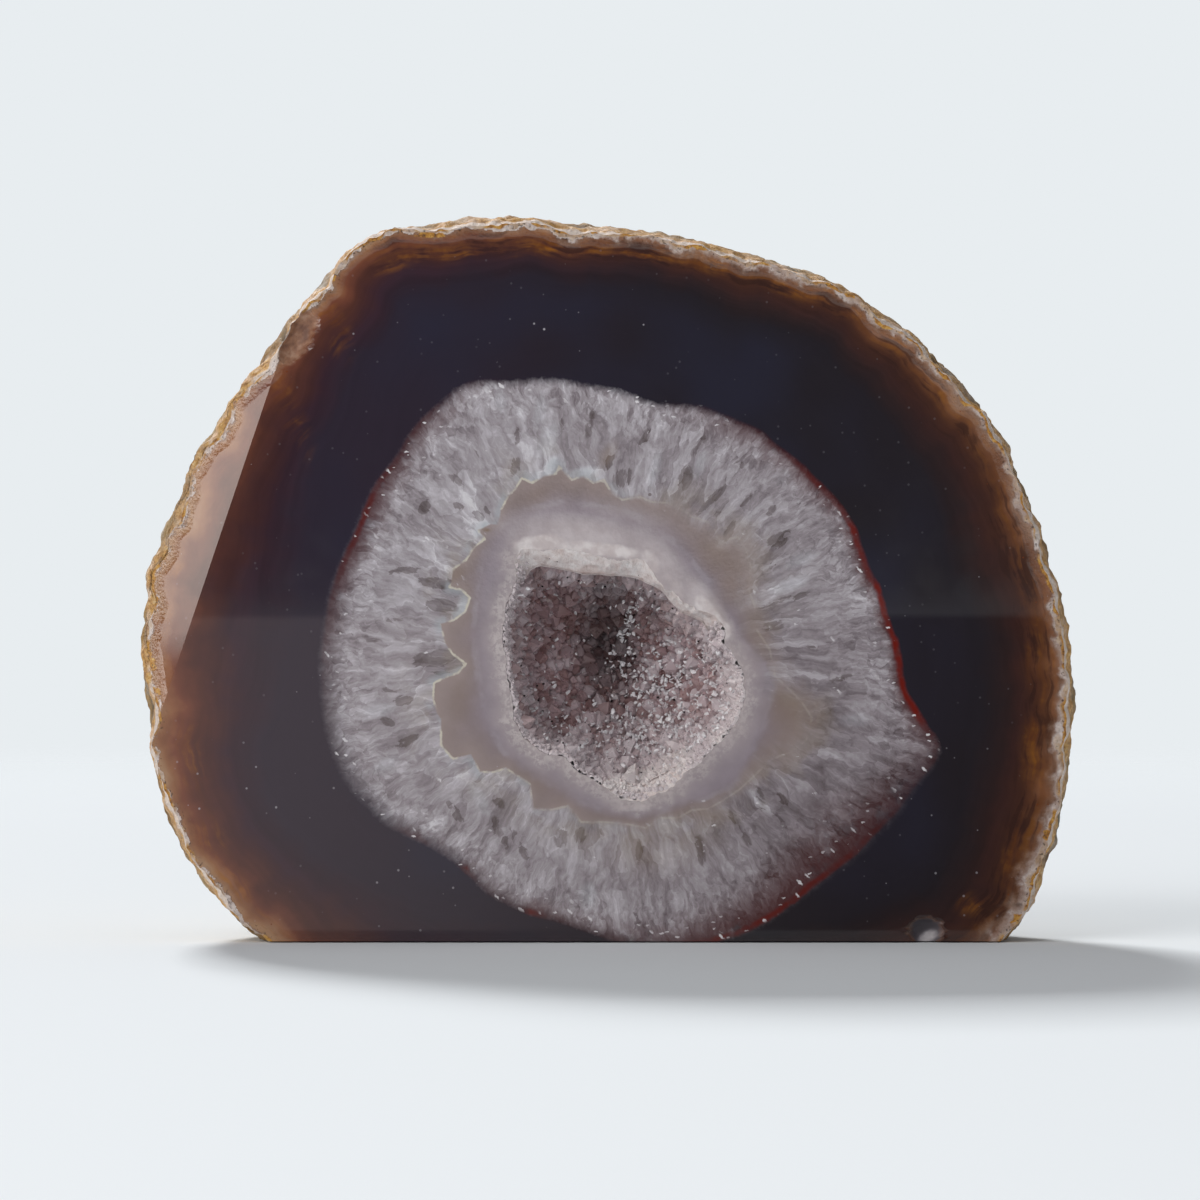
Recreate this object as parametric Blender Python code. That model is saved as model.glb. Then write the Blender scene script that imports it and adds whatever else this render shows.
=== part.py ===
"""Agate geode, sawn and polished, standing on its sawn base.

One natural stone: a rough nodule that was sawn once across its middle (the
polished front), sawn once along its underside (the base) and ground to a
narrow flat on its left side. Two chips are missing, one from the front's left
shoulder and one from the edge of the base. The hollow in the front is the
vug, lined with quartz. The front faces -Y, the base lies on z = 0 and the
origin is the middle of the base's box.

Outlines are drawn on a front elevation sheet whose unit is UNIT, with u to
the right and v downwards, and at(u, v) turns them into X and Z.
"""

import math

import bmesh
import bpy
import numpy as np
from mathutils import Matrix, Vector, noise

# ---------------------------------------------------------------- dimensions
UNIT = 0.00015  # one unit of the elevation sheet, metres
AXIS_U = 608.0  # the sheet's u at X = 0
BASE_V = 941.4  # the sheet's v at Z = 0

DEPTH = 0.058  # from the polished front to the furthest point of the back
FACE_Y = -DEPTH / 2  # where the polished front stands
GIRTH_DEPTH = 0.009  # how far behind the front the nodule is widest
GIRTH = 1.01  # its outline there, against the drawn outline
FRONT_REACH = 0.045  # half depth of the part of the nodule that was sawn off

SWELLS = [  # the back's swells and hollows: rise in metres, how many to a metre
    (0.0030, 24), (0.0014, 62), (0.0007, 150), (0.0004, 330),
]
SWELL_START, SWELL_RAMP = 0.010, 0.030  # they begin this far behind the front, and are full this much further
CREST_FADE = 0.011  # the drawn outline's small steps die out this far behind the front

VUG_DEPTH = 0.0192
LIP_DEPTH = 0.0022  # the crust at the mouth slopes in to this depth
DRUSE_GRAIN = 0.00055  # rise and fall of the quartz lining

FLAT_TILT = math.radians(28)  # how far the ground flat leans back from the front

COLUMNS = 116  # round the nodule
RINGS = 17  # from front to back
VUG_COLUMNS = 66

# ------------------------------------------------------- hand-drawn outlines
HEART = (610, 650)  # the nodule's axis
NODULE = [
    (1006, 941), (1022, 921), (1033, 900), (1044, 865), (1054, 840), (1062, 803),
    (1067, 752), (1071, 722), (1072, 696), (1068, 650), (1064, 618), (1057, 599),
    (1048, 567), (1041, 540), (1033, 518), (1027, 499), (1016, 476), (1008, 451),
    (997, 431), (987, 416), (968, 397), (954, 380), (935, 363), (914, 336),
    (895, 324), (866, 305), (838, 285), (807, 276), (767, 262), (729, 253),
    (700, 244), (654, 233), (616, 232), (568, 228), (536, 219), (496, 221),
    (454, 224), (419, 229), (386, 228), (357, 241), (338, 263), (328, 286),
    (300, 309), (288, 322), (284, 340), (262, 368), (242, 385), (230, 407),
    (218, 436), (204, 442), (195, 454), (187, 483), (175, 514), (164, 547),
    (147, 574), (150, 602), (142, 641), (148, 679), (155, 710), (150, 748),
    (161, 794), (174, 828), (190, 859), (214, 891), (239, 922), (267, 941),
    # what the base saw took off
    (318, 978), (395, 1012), (500, 1034), (620, 1042), (740, 1038), (850, 1022),
    (930, 998), (980, 968),
]

VUG_HEART = (625, 680)
MOUTH = [  # where the vug breaks the polished front
    (521, 548), (541, 551), (565, 549), (592, 555), (617, 560), (643, 559),
    (657, 579), (667, 589), (681, 600), (697, 610), (715, 615), (727, 634),
    (724, 643), (737, 658), (744, 676), (744, 703), (737, 721), (724, 737),
    (710, 752), (697, 765), (684, 774), (673, 786), (655, 795), (640, 801),
    (620, 800), (606, 786), (596, 781), (577, 770), (566, 757), (546, 754),
    (526, 740), (515, 722), (512, 700), (508, 683), (505, 655), (503, 630),
    (508, 600), (517, 580), (515, 562),
]
THROAT = [  # the inner edge of the crust, at LIP_DEPTH
    (531, 570), (539, 566), (562, 570), (584, 575), (611, 576), (638, 579),
    (648, 584), (661, 590), (671, 602), (681, 613), (702, 622), (707, 630),
    (720, 644), (733, 660), (738, 676), (738, 703), (731, 720), (718, 736),
    (706, 748), (690, 757), (672, 768), (653, 778), (643, 785), (624, 782),
    (605, 778), (590, 775), (578, 764), (568, 752), (549, 748), (530, 735),
    (520, 718), (517, 700), (513, 683), (510, 655), (508, 630), (513, 604),
    (521, 583),
]
# depth share, size against the throat; the walls belly out a little, then close
VUG_WALL = [
    (0.26, 1.02), (0.40, 0.98), (0.53, 0.91), (0.66, 0.80), (0.78, 0.65),
    (0.88, 0.47), (0.955, 0.27),
]

LEFT_FLAT = ((276, 369), (184, 643))  # the inner edge of the ground flat, upper end first

# chips: middle (u, v) on the front, half length, half width and depth in metres, lean of the length from upright
CHIPS = {
    "shoulder_chip": ((297, 337), 0.0045, 0.0022, 0.0012, math.radians(27)),
    "base_chip": ((926, 931), 0.0021, 0.0027, 0.0010, 0.0),
}


def at(u, v):
    """X and Z in metres of a point of the elevation sheet."""
    return (u - AXIS_U) * UNIT, (BASE_V - v) * UNIT


def radius_of(points, centre):
    """Radius in metres of a closed drawn outline, as a function of the angle round its centre."""
    du = np.array([p[0] - centre[0] for p in points], float)
    dv = np.array([centre[1] - p[1] for p in points], float)
    angle = np.arctan2(dv, du)
    radius = np.hypot(du, dv) * UNIT
    return lambda a: np.interp(a, angle, radius, period=2 * math.pi)


def rings_to_mesh(name, rings, first_cap, last_point):
    """A closed mesh from rings of equal length, a flat cap on the first and a point after the last."""
    bm = bmesh.new()
    rows = [[bm.verts.new(p) for p in ring] for ring in rings]
    n = len(rows[0])
    for a, b in zip(rows, rows[1:]):
        for i in range(n):
            j = (i + 1) % n
            bm.faces.new((a[i], a[j], b[j], b[i]))
    tip = bm.verts.new(last_point)
    for i in range(n):
        bm.faces.new((rows[-1][i], rows[-1][(i + 1) % n], tip))
    if first_cap:
        bm.faces.new(rows[0])
    bmesh.ops.recalc_face_normals(bm, faces=bm.faces)
    mesh = bpy.data.meshes.new(name)
    bm.to_mesh(mesh)
    bm.free()
    obj = bpy.data.objects.new(name, mesh)
    bpy.context.collection.objects.link(obj)
    return obj


def smooth(x):
    x = min(max(x, 0.0), 1.0)
    return x * x * (3 - 2 * x)


def softened(outline, spread, count=360):
    """The same outline with its steps averaged out over a spread of angle either way."""
    angles = np.arange(count) * 2 * math.pi / count
    offsets = np.linspace(-spread, spread, 25)
    weights = np.cos(offsets / spread * math.pi / 2)
    mean = sum(w * outline(angles + o) for o, w in zip(offsets, weights)) / weights.sum()
    return lambda a: np.interp(a, angles, mean, period=2 * math.pi)


def nodule():
    """The whole rough stone, before any sawing."""
    drawn = radius_of(NODULE, HEART)
    soft = softened(drawn, math.radians(13))
    cx, cz = at(*HEART)
    rings = []
    for k in range(RINGS):
        phi = -0.30 + (0.5 * math.pi + 0.30) * (k / RINGS) ** 0.92
        reach = DEPTH - GIRTH_DEPTH if phi > 0 else FRONT_REACH
        y = FACE_Y + GIRTH_DEPTH + reach * math.sin(phi)
        size = GIRTH * math.cos(phi) ** 0.86
        faded = smooth((y - FACE_Y - 0.001) / CREST_FADE)
        behind = smooth((y - FACE_Y - SWELL_START) / SWELL_RAMP)
        fine = smooth(size / 0.4)
        ring = []
        for i in range(COLUMNS):
            a = 2 * math.pi * (i + 0.5 * (k % 2)) / COLUMNS
            r = float((1 - faded) * drawn(a) + faded * soft(a)) * size
            here = Vector((cx + r * math.cos(a), y, cz + r * math.sin(a)))
            swell = sum(
                rise * noise.noise(here * pitch + Vector((7.3, 1.9, 4.4)) * n) * (1 if n < 2 else fine)
                for n, (rise, pitch) in enumerate(SWELLS)
            )
            out = Vector((math.cos(a) * math.cos(phi), math.sin(phi), math.sin(a) * math.cos(phi)))
            ring.append(here + out * swell * behind)
        rings.append(ring)
    return rings_to_mesh("agate_geode", rings, True, (cx, FACE_Y + DEPTH, cz))


def block(name, corner_low, corner_high):
    bm = bmesh.new()
    bmesh.ops.create_cube(bm, size=1)
    lo, hi = Vector(corner_low), Vector(corner_high)
    for v in bm.verts:
        v.co = Vector(((lo[i] + hi[i]) / 2 + v.co[i] * (hi[i] - lo[i])) for i in range(3))
    mesh = bpy.data.meshes.new(name)
    bm.to_mesh(mesh)
    bm.free()
    obj = bpy.data.objects.new(name, mesh)
    bpy.context.collection.objects.link(obj)
    return obj


def flat_cutter(name, edge):
    """A block whose near side is the plane of the ground flat, hinged on its inner edge."""
    (xa, za), (xb, zb) = at(*edge[0]), at(*edge[1])
    along = Vector((xb - xa, 0, zb - za)).normalized()
    outward = Vector((along.z, 0, -along.x))  # in the front's plane, away from the stone
    if outward.x > 0:
        outward = -outward
    normal = outward * math.sin(FLAT_TILT) + Vector((0, -1, 0)) * math.cos(FLAT_TILT)
    slope = normal.cross(along)
    middle = Vector(((xa + xb) / 2, FACE_Y, (za + zb) / 2))
    obj = block(name, (-0.06, -0.045, 0), (0.06, 0.045, 0.05))
    for v in obj.data.vertices:
        v.co = middle + along * v.co.x + slope * v.co.y + normal * v.co.z
    bm = bmesh.new()
    bm.from_mesh(obj.data)
    bmesh.ops.recalc_face_normals(bm, faces=bm.faces)
    bm.to_mesh(obj.data)
    bm.free()
    return obj


def chip_cutter(name, middle, half_length, half_width, deep, lean):
    """An egg set into the front as deep as the chip goes."""
    x, z = at(*middle)
    bm = bmesh.new()
    bmesh.ops.create_uvsphere(bm, u_segments=18, v_segments=10, radius=1)
    turn = Matrix.Rotation(lean, 4, "Y")
    for v in bm.verts:
        size = Vector((half_width * v.co.x, 2 * deep * v.co.y, half_length * v.co.z)) / 0.87
        v.co = turn @ size + Vector((x, FACE_Y - deep, z))
    mesh = bpy.data.meshes.new(name)
    bm.to_mesh(mesh)
    bm.free()
    obj = bpy.data.objects.new(name, mesh)
    bpy.context.collection.objects.link(obj)
    return obj


def vug():
    """The hollow as a solid: a straight mouth, the sloping crust, then bellied walls closing to the back."""
    mouth, throat = radius_of(MOUTH, VUG_HEART), radius_of(THROAT, VUG_HEART)
    cx, cz = at(*VUG_HEART)
    rows = [(-0.002, 1.0, 0.0), (0.0, 1.0, 0.0), (LIP_DEPTH * 0.5, 1.0, 0.6), (LIP_DEPTH, 1.0, 1.0)]
    rows += [(share * VUG_DEPTH, size, 1.0) for share, size in VUG_WALL]
    rings = []
    for k, (deep, size, inner) in enumerate(rows):
        ring = []
        for i in range(VUG_COLUMNS):
            a = 2 * math.pi * (i + 0.5 * (k % 2 if k > 3 else 0)) / VUG_COLUMNS
            r = float((1 - inner) * mouth(a) + inner * throat(a)) * size
            y = FACE_Y + deep
            if k > 3:
                here = Vector((cx + r * math.cos(a), y, cz + r * math.sin(a)))
                grain = noise.noise(here * 620)
                r += DRUSE_GRAIN * grain
                y += DRUSE_GRAIN * noise.noise(here * 540 + Vector((5, 9, 2)))
            ring.append((cx + r * math.cos(a), y, cz + r * math.sin(a)))
        rings.append(ring)
    return rings_to_mesh("vug_cutter", rings, True, (cx, FACE_Y + VUG_DEPTH, cz))


def stone_material():
    mat = bpy.data.materials.new("agate")
    mat.use_nodes = True
    shader = mat.node_tree.nodes["Principled BSDF"]
    shader.inputs["Base Color"].default_value = (0.060, 0.045, 0.055, 1)
    shader.inputs["Roughness"].default_value = 0.12
    shader.inputs["Metallic"].default_value = 0.0
    return mat


def build():
    for obj in list(bpy.data.objects):
        bpy.data.objects.remove(obj, do_unlink=True)

    stone = nodule()
    stone.data.materials.append(stone_material())

    cutters = [
        block("front_saw", (-0.12, FACE_Y - 0.05, -0.05), (0.12, FACE_Y, 0.16)),
        block("base_saw", (-0.12, FACE_Y - 0.06, -0.06), (0.12, FACE_Y + 0.12, 0.0)),
        flat_cutter("left_grind", LEFT_FLAT),
        *(chip_cutter(name, *chip) for name, chip in CHIPS.items()),
        vug(),
    ]
    for cutter in cutters:
        cutter.hide_render = True
        cutter.display_type = "WIRE"
        cut = stone.modifiers.new(cutter.name, "BOOLEAN")
        cut.operation = "DIFFERENCE"
        cut.solver = "EXACT"
        cut.object = cutter


build()
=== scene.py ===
"""The looks of the agate geode: polished face, quartz comb, crystal hollow and rough rind.

Outlines are drawn on the same front elevation sheet as the solid's: u to the
right and v downwards, UNIT metres to a unit, and at(u, v) gives X and Z.
"""

import math

import bmesh
import bpy
import numpy as np
from mathutils import Matrix, Vector, noise
from mathutils.geometry import delaunay_2d_cdt

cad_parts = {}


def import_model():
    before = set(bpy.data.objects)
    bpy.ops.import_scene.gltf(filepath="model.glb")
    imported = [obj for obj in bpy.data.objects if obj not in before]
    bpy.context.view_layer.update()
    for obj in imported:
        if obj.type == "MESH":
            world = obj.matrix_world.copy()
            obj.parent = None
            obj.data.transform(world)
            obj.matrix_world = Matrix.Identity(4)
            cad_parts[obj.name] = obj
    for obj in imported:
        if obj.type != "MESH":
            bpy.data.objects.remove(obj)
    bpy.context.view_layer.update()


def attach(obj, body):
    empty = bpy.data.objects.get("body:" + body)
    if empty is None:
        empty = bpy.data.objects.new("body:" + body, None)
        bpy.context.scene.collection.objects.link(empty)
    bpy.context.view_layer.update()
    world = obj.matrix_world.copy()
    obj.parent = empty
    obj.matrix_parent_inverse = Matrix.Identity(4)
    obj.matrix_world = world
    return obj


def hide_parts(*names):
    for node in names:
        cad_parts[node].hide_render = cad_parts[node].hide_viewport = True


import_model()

# ------------------------------------------------------------ the solid's dimensions
UNIT = 0.00015
AXIS_U, BASE_V = 608.0, 941.4
DEPTH = 0.058
FACE_Y = -DEPTH / 2
GIRTH_DEPTH, GIRTH, FRONT_REACH = 0.009, 1.01, 0.045
SWELLS = [(0.0030, 24), (0.0014, 62), (0.0007, 150), (0.0004, 330)]
SWELL_START, SWELL_RAMP, CREST_FADE = 0.010, 0.030, 0.011
VUG_DEPTH, LIP_DEPTH = 0.0192, 0.0022
FLAT_TILT = math.radians(28)
LEFT_FLAT = ((276, 369), (184, 643))
CHIPS = {
    "shoulder": ((297, 337), 0.0045, 0.0022, 0.0012, math.radians(27)),
    "base": ((926, 931), 0.0021, 0.0027, 0.0010, 0.0),
}

HEART = (610, 650)
NODULE = [
    (1006, 941), (1022, 921), (1033, 900), (1044, 865), (1054, 840), (1062, 803),
    (1067, 752), (1071, 722), (1072, 696), (1068, 650), (1064, 618), (1057, 599),
    (1048, 567), (1041, 540), (1033, 518), (1027, 499), (1016, 476), (1008, 451),
    (997, 431), (987, 416), (968, 397), (954, 380), (935, 363), (914, 336),
    (895, 324), (866, 305), (838, 285), (807, 276), (767, 262), (729, 253),
    (700, 244), (654, 233), (616, 232), (568, 228), (536, 219), (496, 221),
    (454, 224), (419, 229), (386, 228), (357, 241), (338, 263), (328, 286),
    (300, 309), (288, 322), (284, 340), (262, 368), (242, 385), (230, 407),
    (218, 436), (204, 442), (195, 454), (187, 483), (175, 514), (164, 547),
    (147, 574), (150, 602), (142, 641), (148, 679), (155, 710), (150, 748),
    (161, 794), (174, 828), (190, 859), (214, 891), (239, 922), (267, 941),
    (318, 978), (395, 1012), (500, 1034), (620, 1042), (740, 1038), (850, 1022),
    (930, 998), (980, 968),
]
VUG_HEART = (625, 680)
MOUTH = [
    (521, 548), (541, 551), (565, 549), (592, 555), (617, 560), (643, 559),
    (657, 579), (667, 589), (681, 600), (697, 610), (715, 615), (727, 634),
    (724, 643), (737, 658), (744, 676), (744, 703), (737, 721), (724, 737),
    (710, 752), (697, 765), (684, 774), (673, 786), (655, 795), (640, 801),
    (620, 800), (606, 786), (596, 781), (577, 770), (566, 757), (546, 754),
    (526, 740), (515, 722), (512, 700), (508, 683), (505, 655), (503, 630),
    (508, 600), (517, 580), (515, 562),
]
THROAT = [
    (531, 570), (539, 566), (562, 570), (584, 575), (611, 576), (638, 579),
    (648, 584), (661, 590), (671, 602), (681, 613), (702, 622), (707, 630),
    (720, 644), (733, 660), (738, 676), (738, 703), (731, 720), (718, 736),
    (706, 748), (690, 757), (672, 768), (653, 778), (643, 785), (624, 782),
    (605, 778), (590, 775), (578, 764), (568, 752), (549, 748), (530, 735),
    (520, 718), (517, 700), (513, 683), (510, 655), (508, 630), (513, 604),
    (521, 583),
]
VUG_WALL = [
    (0.26, 1.02), (0.40, 0.98), (0.53, 0.91), (0.66, 0.80), (0.78, 0.65),
    (0.88, 0.47), (0.955, 0.27),
]

# ------------------------------------------------------------ what is drawn on the face
QUARTZ = [  # where the dark agate gives way to the quartz comb
    (400, 454), (411, 435), (425, 418), (442, 403), (459, 388), (476, 382), (496, 381),
    (515, 381), (534, 379), (553, 379), (572, 381), (591, 385), (610, 388), (630, 393),
    (643, 399), (658, 403), (677, 405), (700, 407), (719, 414), (742, 424), (761, 433),
    (776, 447), (792, 458), (807, 472), (822, 487), (832, 497), (850, 521), (860, 547),
    (869, 572), (879, 591), (885, 612), (891, 631), (898, 650), (901, 674), (907, 695),
    (919, 715), (928, 730), (938, 744), (933, 762), (914, 785), (895, 811), (874, 833),
    (850, 857), (835, 868), (811, 886), (782, 909), (753, 927), (723, 938), (690, 945),
    (655, 946), (620, 941), (587, 930), (555, 919), (531, 913), (508, 903), (488, 892),
    (469, 873), (449, 857), (428, 844), (404, 832), (388, 824), (367, 803), (350, 784),
    (336, 754), (328, 725), (324, 690), (323, 658), (327, 625), (332, 595), (344, 560),
    (359, 528), (374, 491), (387, 472),
]
TIPS = [  # the zigzag of crystal tips round the chalcedony
    (627, 824), (604, 822), (581, 822), (568, 806), (550, 810), (533, 809), (530, 784),
    (506, 768), (494, 772), (480, 772), (471, 754), (453, 759), (441, 745), (441, 719),
    (437, 713), (433, 698), (434, 683), (446, 677), (458, 673), (466, 664), (453, 654),
    (445, 643), (441, 624), (454, 620), (465, 612), (470, 598), (462, 590), (449, 587),
    (451, 582), (453, 569), (466, 560), (474, 547), (485, 539), (478, 530), (491, 524),
    (498, 525), (501, 510), (508, 496), (515, 489), (522, 478), (532, 483), (544, 476),
    (556, 474), (559, 466), (572, 480), (583, 476), (593, 483), (604, 480), (610, 490),
    (622, 500), (640, 497), (652, 502), (668, 503), (680, 509), (693, 517), (708, 522),
    (722, 541), (738, 537), (745, 545), (751, 567), (749, 590), (755, 607), (757, 630),
    (770, 650), (775, 676), (790, 690), (802, 702), (812, 718), (806, 740), (790, 752),
    (770, 760), (752, 778), (740, 789), (724, 800), (708, 809), (692, 810), (678, 818),
    (660, 818), (646, 828),
]
LAVENDER = [  # the outer edge of the lavender band
    (741, 636), (757, 652), (769, 668), (773, 684), (770, 704), (764, 722), (757, 744),
    (748, 763), (740, 774), (732, 784), (717, 793), (700, 799), (676, 806), (650, 814),
    (625, 814), (600, 810), (578, 801), (560, 790), (538, 778), (520, 762), (503, 748),
    (492, 730), (484, 706), (480, 680), (476, 650), (475, 620), (477, 590), (482, 560),
    (492, 538), (508, 522), (530, 509), (560, 503), (592, 505), (618, 511), (640, 520),
    (660, 533), (678, 548), (696, 566), (711, 587), (720, 603), (732, 624),
]

# dark glassy bodies in the comb: u, v, half length, half width, lean from +u, strength
VOIDS = [
    (424, 507, 7, 5, 60, 0.8), (459, 506, 5, 3, -20, 0.7), (478, 516, 6, 3.5, -40, 0.8),
    (490, 510, 6, 4, -30, 0.6), (405, 571, 15, 3.5, 6, 0.8), (436, 583, 19, 5, -5, 0.9),
    (442, 606, 14, 6.5, -8, 0.9), (433, 659, 22, 8, 5, 0.75), (441, 673, 9, 3, 0, 0.7),
    (517, 437, 12, 2.2, 84, 0.7), (515, 467, 12, 5, 70, 0.7), (530, 455, 10, 4, 115, 0.5),
    (608, 461, 11, 5, 62, 0.8), (622, 478, 12, 8, 68, 0.9), (685, 478, 12, 7, 75, 0.75),
    (712, 500, 21, 3.6, 43, 1.1), (729, 530, 11, 4.5, 62, 1.0), (719, 513, 5, 3, 20, 0.8),
    (771, 511, 8, 4, 45, 0.9), (779, 540, 14, 7, 32, 0.85), (771, 567, 9, 3.2, 45, 0.9),
    (787, 599, 30, 4, 18, 0.65), (775, 626, 11, 8, 10, 0.55), (760, 797, 14, 5, -65, 0.7),
    (782, 799, 8, 4, -50, 0.6), (794, 713, 5, 2.5, 30, 0.7), (452, 733, 11, 6, -25, 0.9),
    (395, 690, 12, 3, 0, 0.5), (372, 640, 10, 3, 2, 0.5), (497, 800, 10, 4, -50, 0.5),
    (455, 812, 14, 4, -55, 0.6), (500, 833, 17, 5, -65, 0.7), (520, 845, 18, 4, -62, 0.6),
    (560, 838, 12, 7, 90, 0.6), (580, 836, 9, 6, 80, 0.6), (403, 700, 9, 5, 10, 0.6),
    (387, 722, 8, 4, -20, 0.6), (405, 742, 14, 4, 25, 0.6), (640, 850, 14, 4, 85, 0.5),
    (700, 850, 16, 5, -80, 0.5), (735, 820, 13, 5, -62, 0.6), (745, 838, 12, 4, -60, 0.5),
    (820, 645, 15, 3, 8, 0.4), (838, 680, 16, 3, 20, 0.5), (560, 430, 13, 4, 85, 0.5),
    (590, 425, 15, 4, 78, 0.5), (645, 440, 14, 4, 66, 0.55), (700, 445, 13, 4, 60, 0.5),
    (735, 470, 14, 5, 52, 0.55), (480, 455, 12, 4, 125, 0.5), (455, 480, 11, 4, 140, 0.5),
    (745, 500, 10, 4, 45, 0.6), (800, 500, 9, 4, 50, 0.55), (395, 620, 12, 3, 0, 0.5),
]
# milky or blue-white bodies: u, v, half length, half width, lean, strength
PALES = [
    (551, 466, 10, 5, 60, 0.9), (581, 474, 15, 6, 15, 0.8), (480, 529, 9, 5, 55, 0.9),
    (484, 541, 6, 3, 50, 0.7), (463, 609, 6, 11, -15, 1.0), (456, 675, 12, 6, 40, 1.0),
    (447, 690, 12, 7, -25, 0.8), (455, 748, 10, 6, 40, 0.8), (540, 412, 16, 6, 80, 0.3),
    (548, 440, 17, 9, 60, 0.35), (500, 400, 12, 6, 100, 0.25), (655, 470, 16, 5, 75, 0.4),
    (700, 465, 14, 5, 70, 0.35), (790, 470, 16, 7, 50, 0.3), (800, 560, 16, 6, 25, 0.35),
    (790, 585, 18, 5, 20, 0.4), (480, 800, 16, 6, -60, 0.4), (470, 700, 6, 10, 0, 0.3),
    (588, 895, 8, 12, 0, 0.45), (618, 820, 10, 5, 0, 0.3), (380, 710, 16, 6, 10, 0.3),
    (385, 765, 14, 6, 30, 0.3), (855, 720, 14, 6, 0, 0.3), (760, 800, 6, 14, 40, 0.2),
]
# brownish yellow stains in the comb and the chalcedony
STAINS = [
    (487, 530, 3, 1.6, 10, 1.2), (455, 574, 9, 6, 20, 0.5), (460, 700, 10, 18, 0, 0.35),
    (790, 712, 22, 20, 0, 0.5), (720, 560, 26, 14, -40, 0.4), (608, 455, 12, 6, 60, 0.35),
    (545, 785, 20, 10, -30, 0.25), (700, 815, 26, 8, 0, 0.35), (760, 640, 10, 20, 0, 0.25),
    (728, 590, 12, 22, -20, 0.3), (533, 500, 18, 8, 30, 0.3), (650, 850, 40, 22, 0, 0.2),
]
# ochre pockets in the crust
POCKETS = [
    (884, 321, 11, 6, -35, 1.0), (755, 259, 5, 3.5, 0, 1.0), (945, 375, 8, 4, -42, 0.9),
    (537, 222, 6, 4, 0, 0.9), (430, 235, 17, 2.6, 0, 0.8), (378, 236, 9, 3, 30, 0.7),
    (333, 278, 6, 3, 55, 0.8), (1047, 566, 4, 3, -70, 0.9), (1051, 583, 5, 4, -70, 1.0),
    (1056, 611, 3, 2, 0, 0.9), (1063, 666, 4, 2.5, 90, 0.8), (1066, 735, 5, 3, 80, 0.9),
    (1061, 781, 6, 2.5, 85, 0.8), (1047, 835, 6, 4, 60, 1.0), (1035, 880, 10, 3, 62, 0.9),
    (1016, 918, 8, 3, 45, 0.8), (152, 665, 9, 3, -75, 0.8), (156, 690, 6, 3, -60, 0.9),
    (154, 590, 6, 2, 60, 0.5), (160, 775, 9, 2, 95, 0.6), (595, 231, 5, 2.5, 0, 0.8),
    (640, 233, 8, 2.5, -8, 0.7), (835, 287, 12, 3, -30, 0.8), (850, 295, 6, 3, -35, 0.8),
    (700, 247, 9, 4, -20, 0.6), (241, 392, 8, 3, 55, 0.6), (215, 440, 6, 3, 60, 0.6),
]
# amber glow under the crust
AMBERS = [
    (470, 252, 60, 6, 3, 0.6), (575, 245, 44, 8, 0, 1.0), (655, 252, 36, 7, -5, 0.9), (720, 266, 40, 7, -12, 0.8),
    (790, 286, 34, 7, -20, 0.9), (840, 302, 30, 8, -30, 0.9), (890, 336, 26, 8, -42, 0.8), (940, 389, 26, 8, -50, 0.5),
    (395, 262, 26, 7, 20, 0.5), (328, 322, 12, 30, 28, 0.5), (285, 400, 10, 44, 24, 0.35), (1012, 500, 8, 34, 18, 0.35),
    (1030, 580, 9, 26, 12, 0.6), (1036, 650, 8, 30, 0, 0.4), (1034, 750, 9, 34, -2, 0.5), (1014, 850, 8, 30, -18, 0.4),
    (975, 905, 14, 9, 0, 0.5), (230, 885, 20, 11, -50, 0.7), (178, 570, 10, 5, 40, 0.3), (190, 760, 10, 34, 8, 0.45),
    (210, 840, 10, 26, 24, 0.5), (262, 925, 26, 9, -30, 0.5),
]


def at(u, v):
    return (u - AXIS_U) * UNIT, (BASE_V - v) * UNIT


def smooth(x, low=0.0, high=1.0):
    x = np.clip((np.asarray(x, float) - low) / (high - low), 0, 1)
    return x * x * (3 - 2 * x)


def by_angle(degrees, stops):
    """A table of (angle, value) read round the circle."""
    angle, value = zip(*stops)
    return np.interp(degrees, angle, value, period=360)


# ------------------------------------------------------------ noise on arrays
_dice = np.random.default_rng(11)
_PERM = _dice.permutation(256)
_GRAD = _dice.normal(size=(256, 3))
_GRAD /= np.linalg.norm(_GRAD, axis=1)[:, None]
_SPOT = _dice.random((256, 3))
_LUCK = _dice.random(256)


def _cell(i, j, k):
    return _PERM[(_PERM[(_PERM[i & 255] + j) & 255] + k) & 255]


def swirl(points, pitch, shift=0.0):
    """Gradient noise, about -1 to 1, with a feature about every 1/pitch metres."""
    q = points * pitch + shift * 17.31
    i = np.floor(q).astype(int)
    f = q - i
    w = f * f * f * (f * (f * 6 - 15) + 10)
    total = np.zeros(len(q))
    for dx in (0, 1):
        for dy in (0, 1):
            for dz in (0, 1):
                g = _GRAD[_cell(i[:, 0] + dx, i[:, 1] + dy, i[:, 2] + dz)]
                d = ((f - (dx, dy, dz)) * g).sum(1)
                share = np.where(dx, w[:, 0], 1 - w[:, 0])
                share = share * np.where(dy, w[:, 1], 1 - w[:, 1])
                total += share * np.where(dz, w[:, 2], 1 - w[:, 2]) * d
    return total * 1.6


def pebbles(points, pitch, shift=0.0):
    """Distance to the nearest scattered point, in cells, and that point's own number from 0 to 1."""
    q = points * pitch + shift * 9.7
    i = np.floor(q).astype(int)
    f = q - i
    best, luck = np.full(len(q), 9.0), np.zeros(len(q))
    for dx in (-1, 0, 1):
        for dy in (-1, 0, 1):
            for dz in (-1, 0, 1):
                c = _cell(i[:, 0] + dx, i[:, 1] + dy, i[:, 2] + dz)
                d = np.linalg.norm(_SPOT[c] + (dx, dy, dz) - f, axis=1)
                near = d < best
                best = np.where(near, d, best)
                luck = np.where(near, _LUCK[c], luck)
    return best, luck


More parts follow.
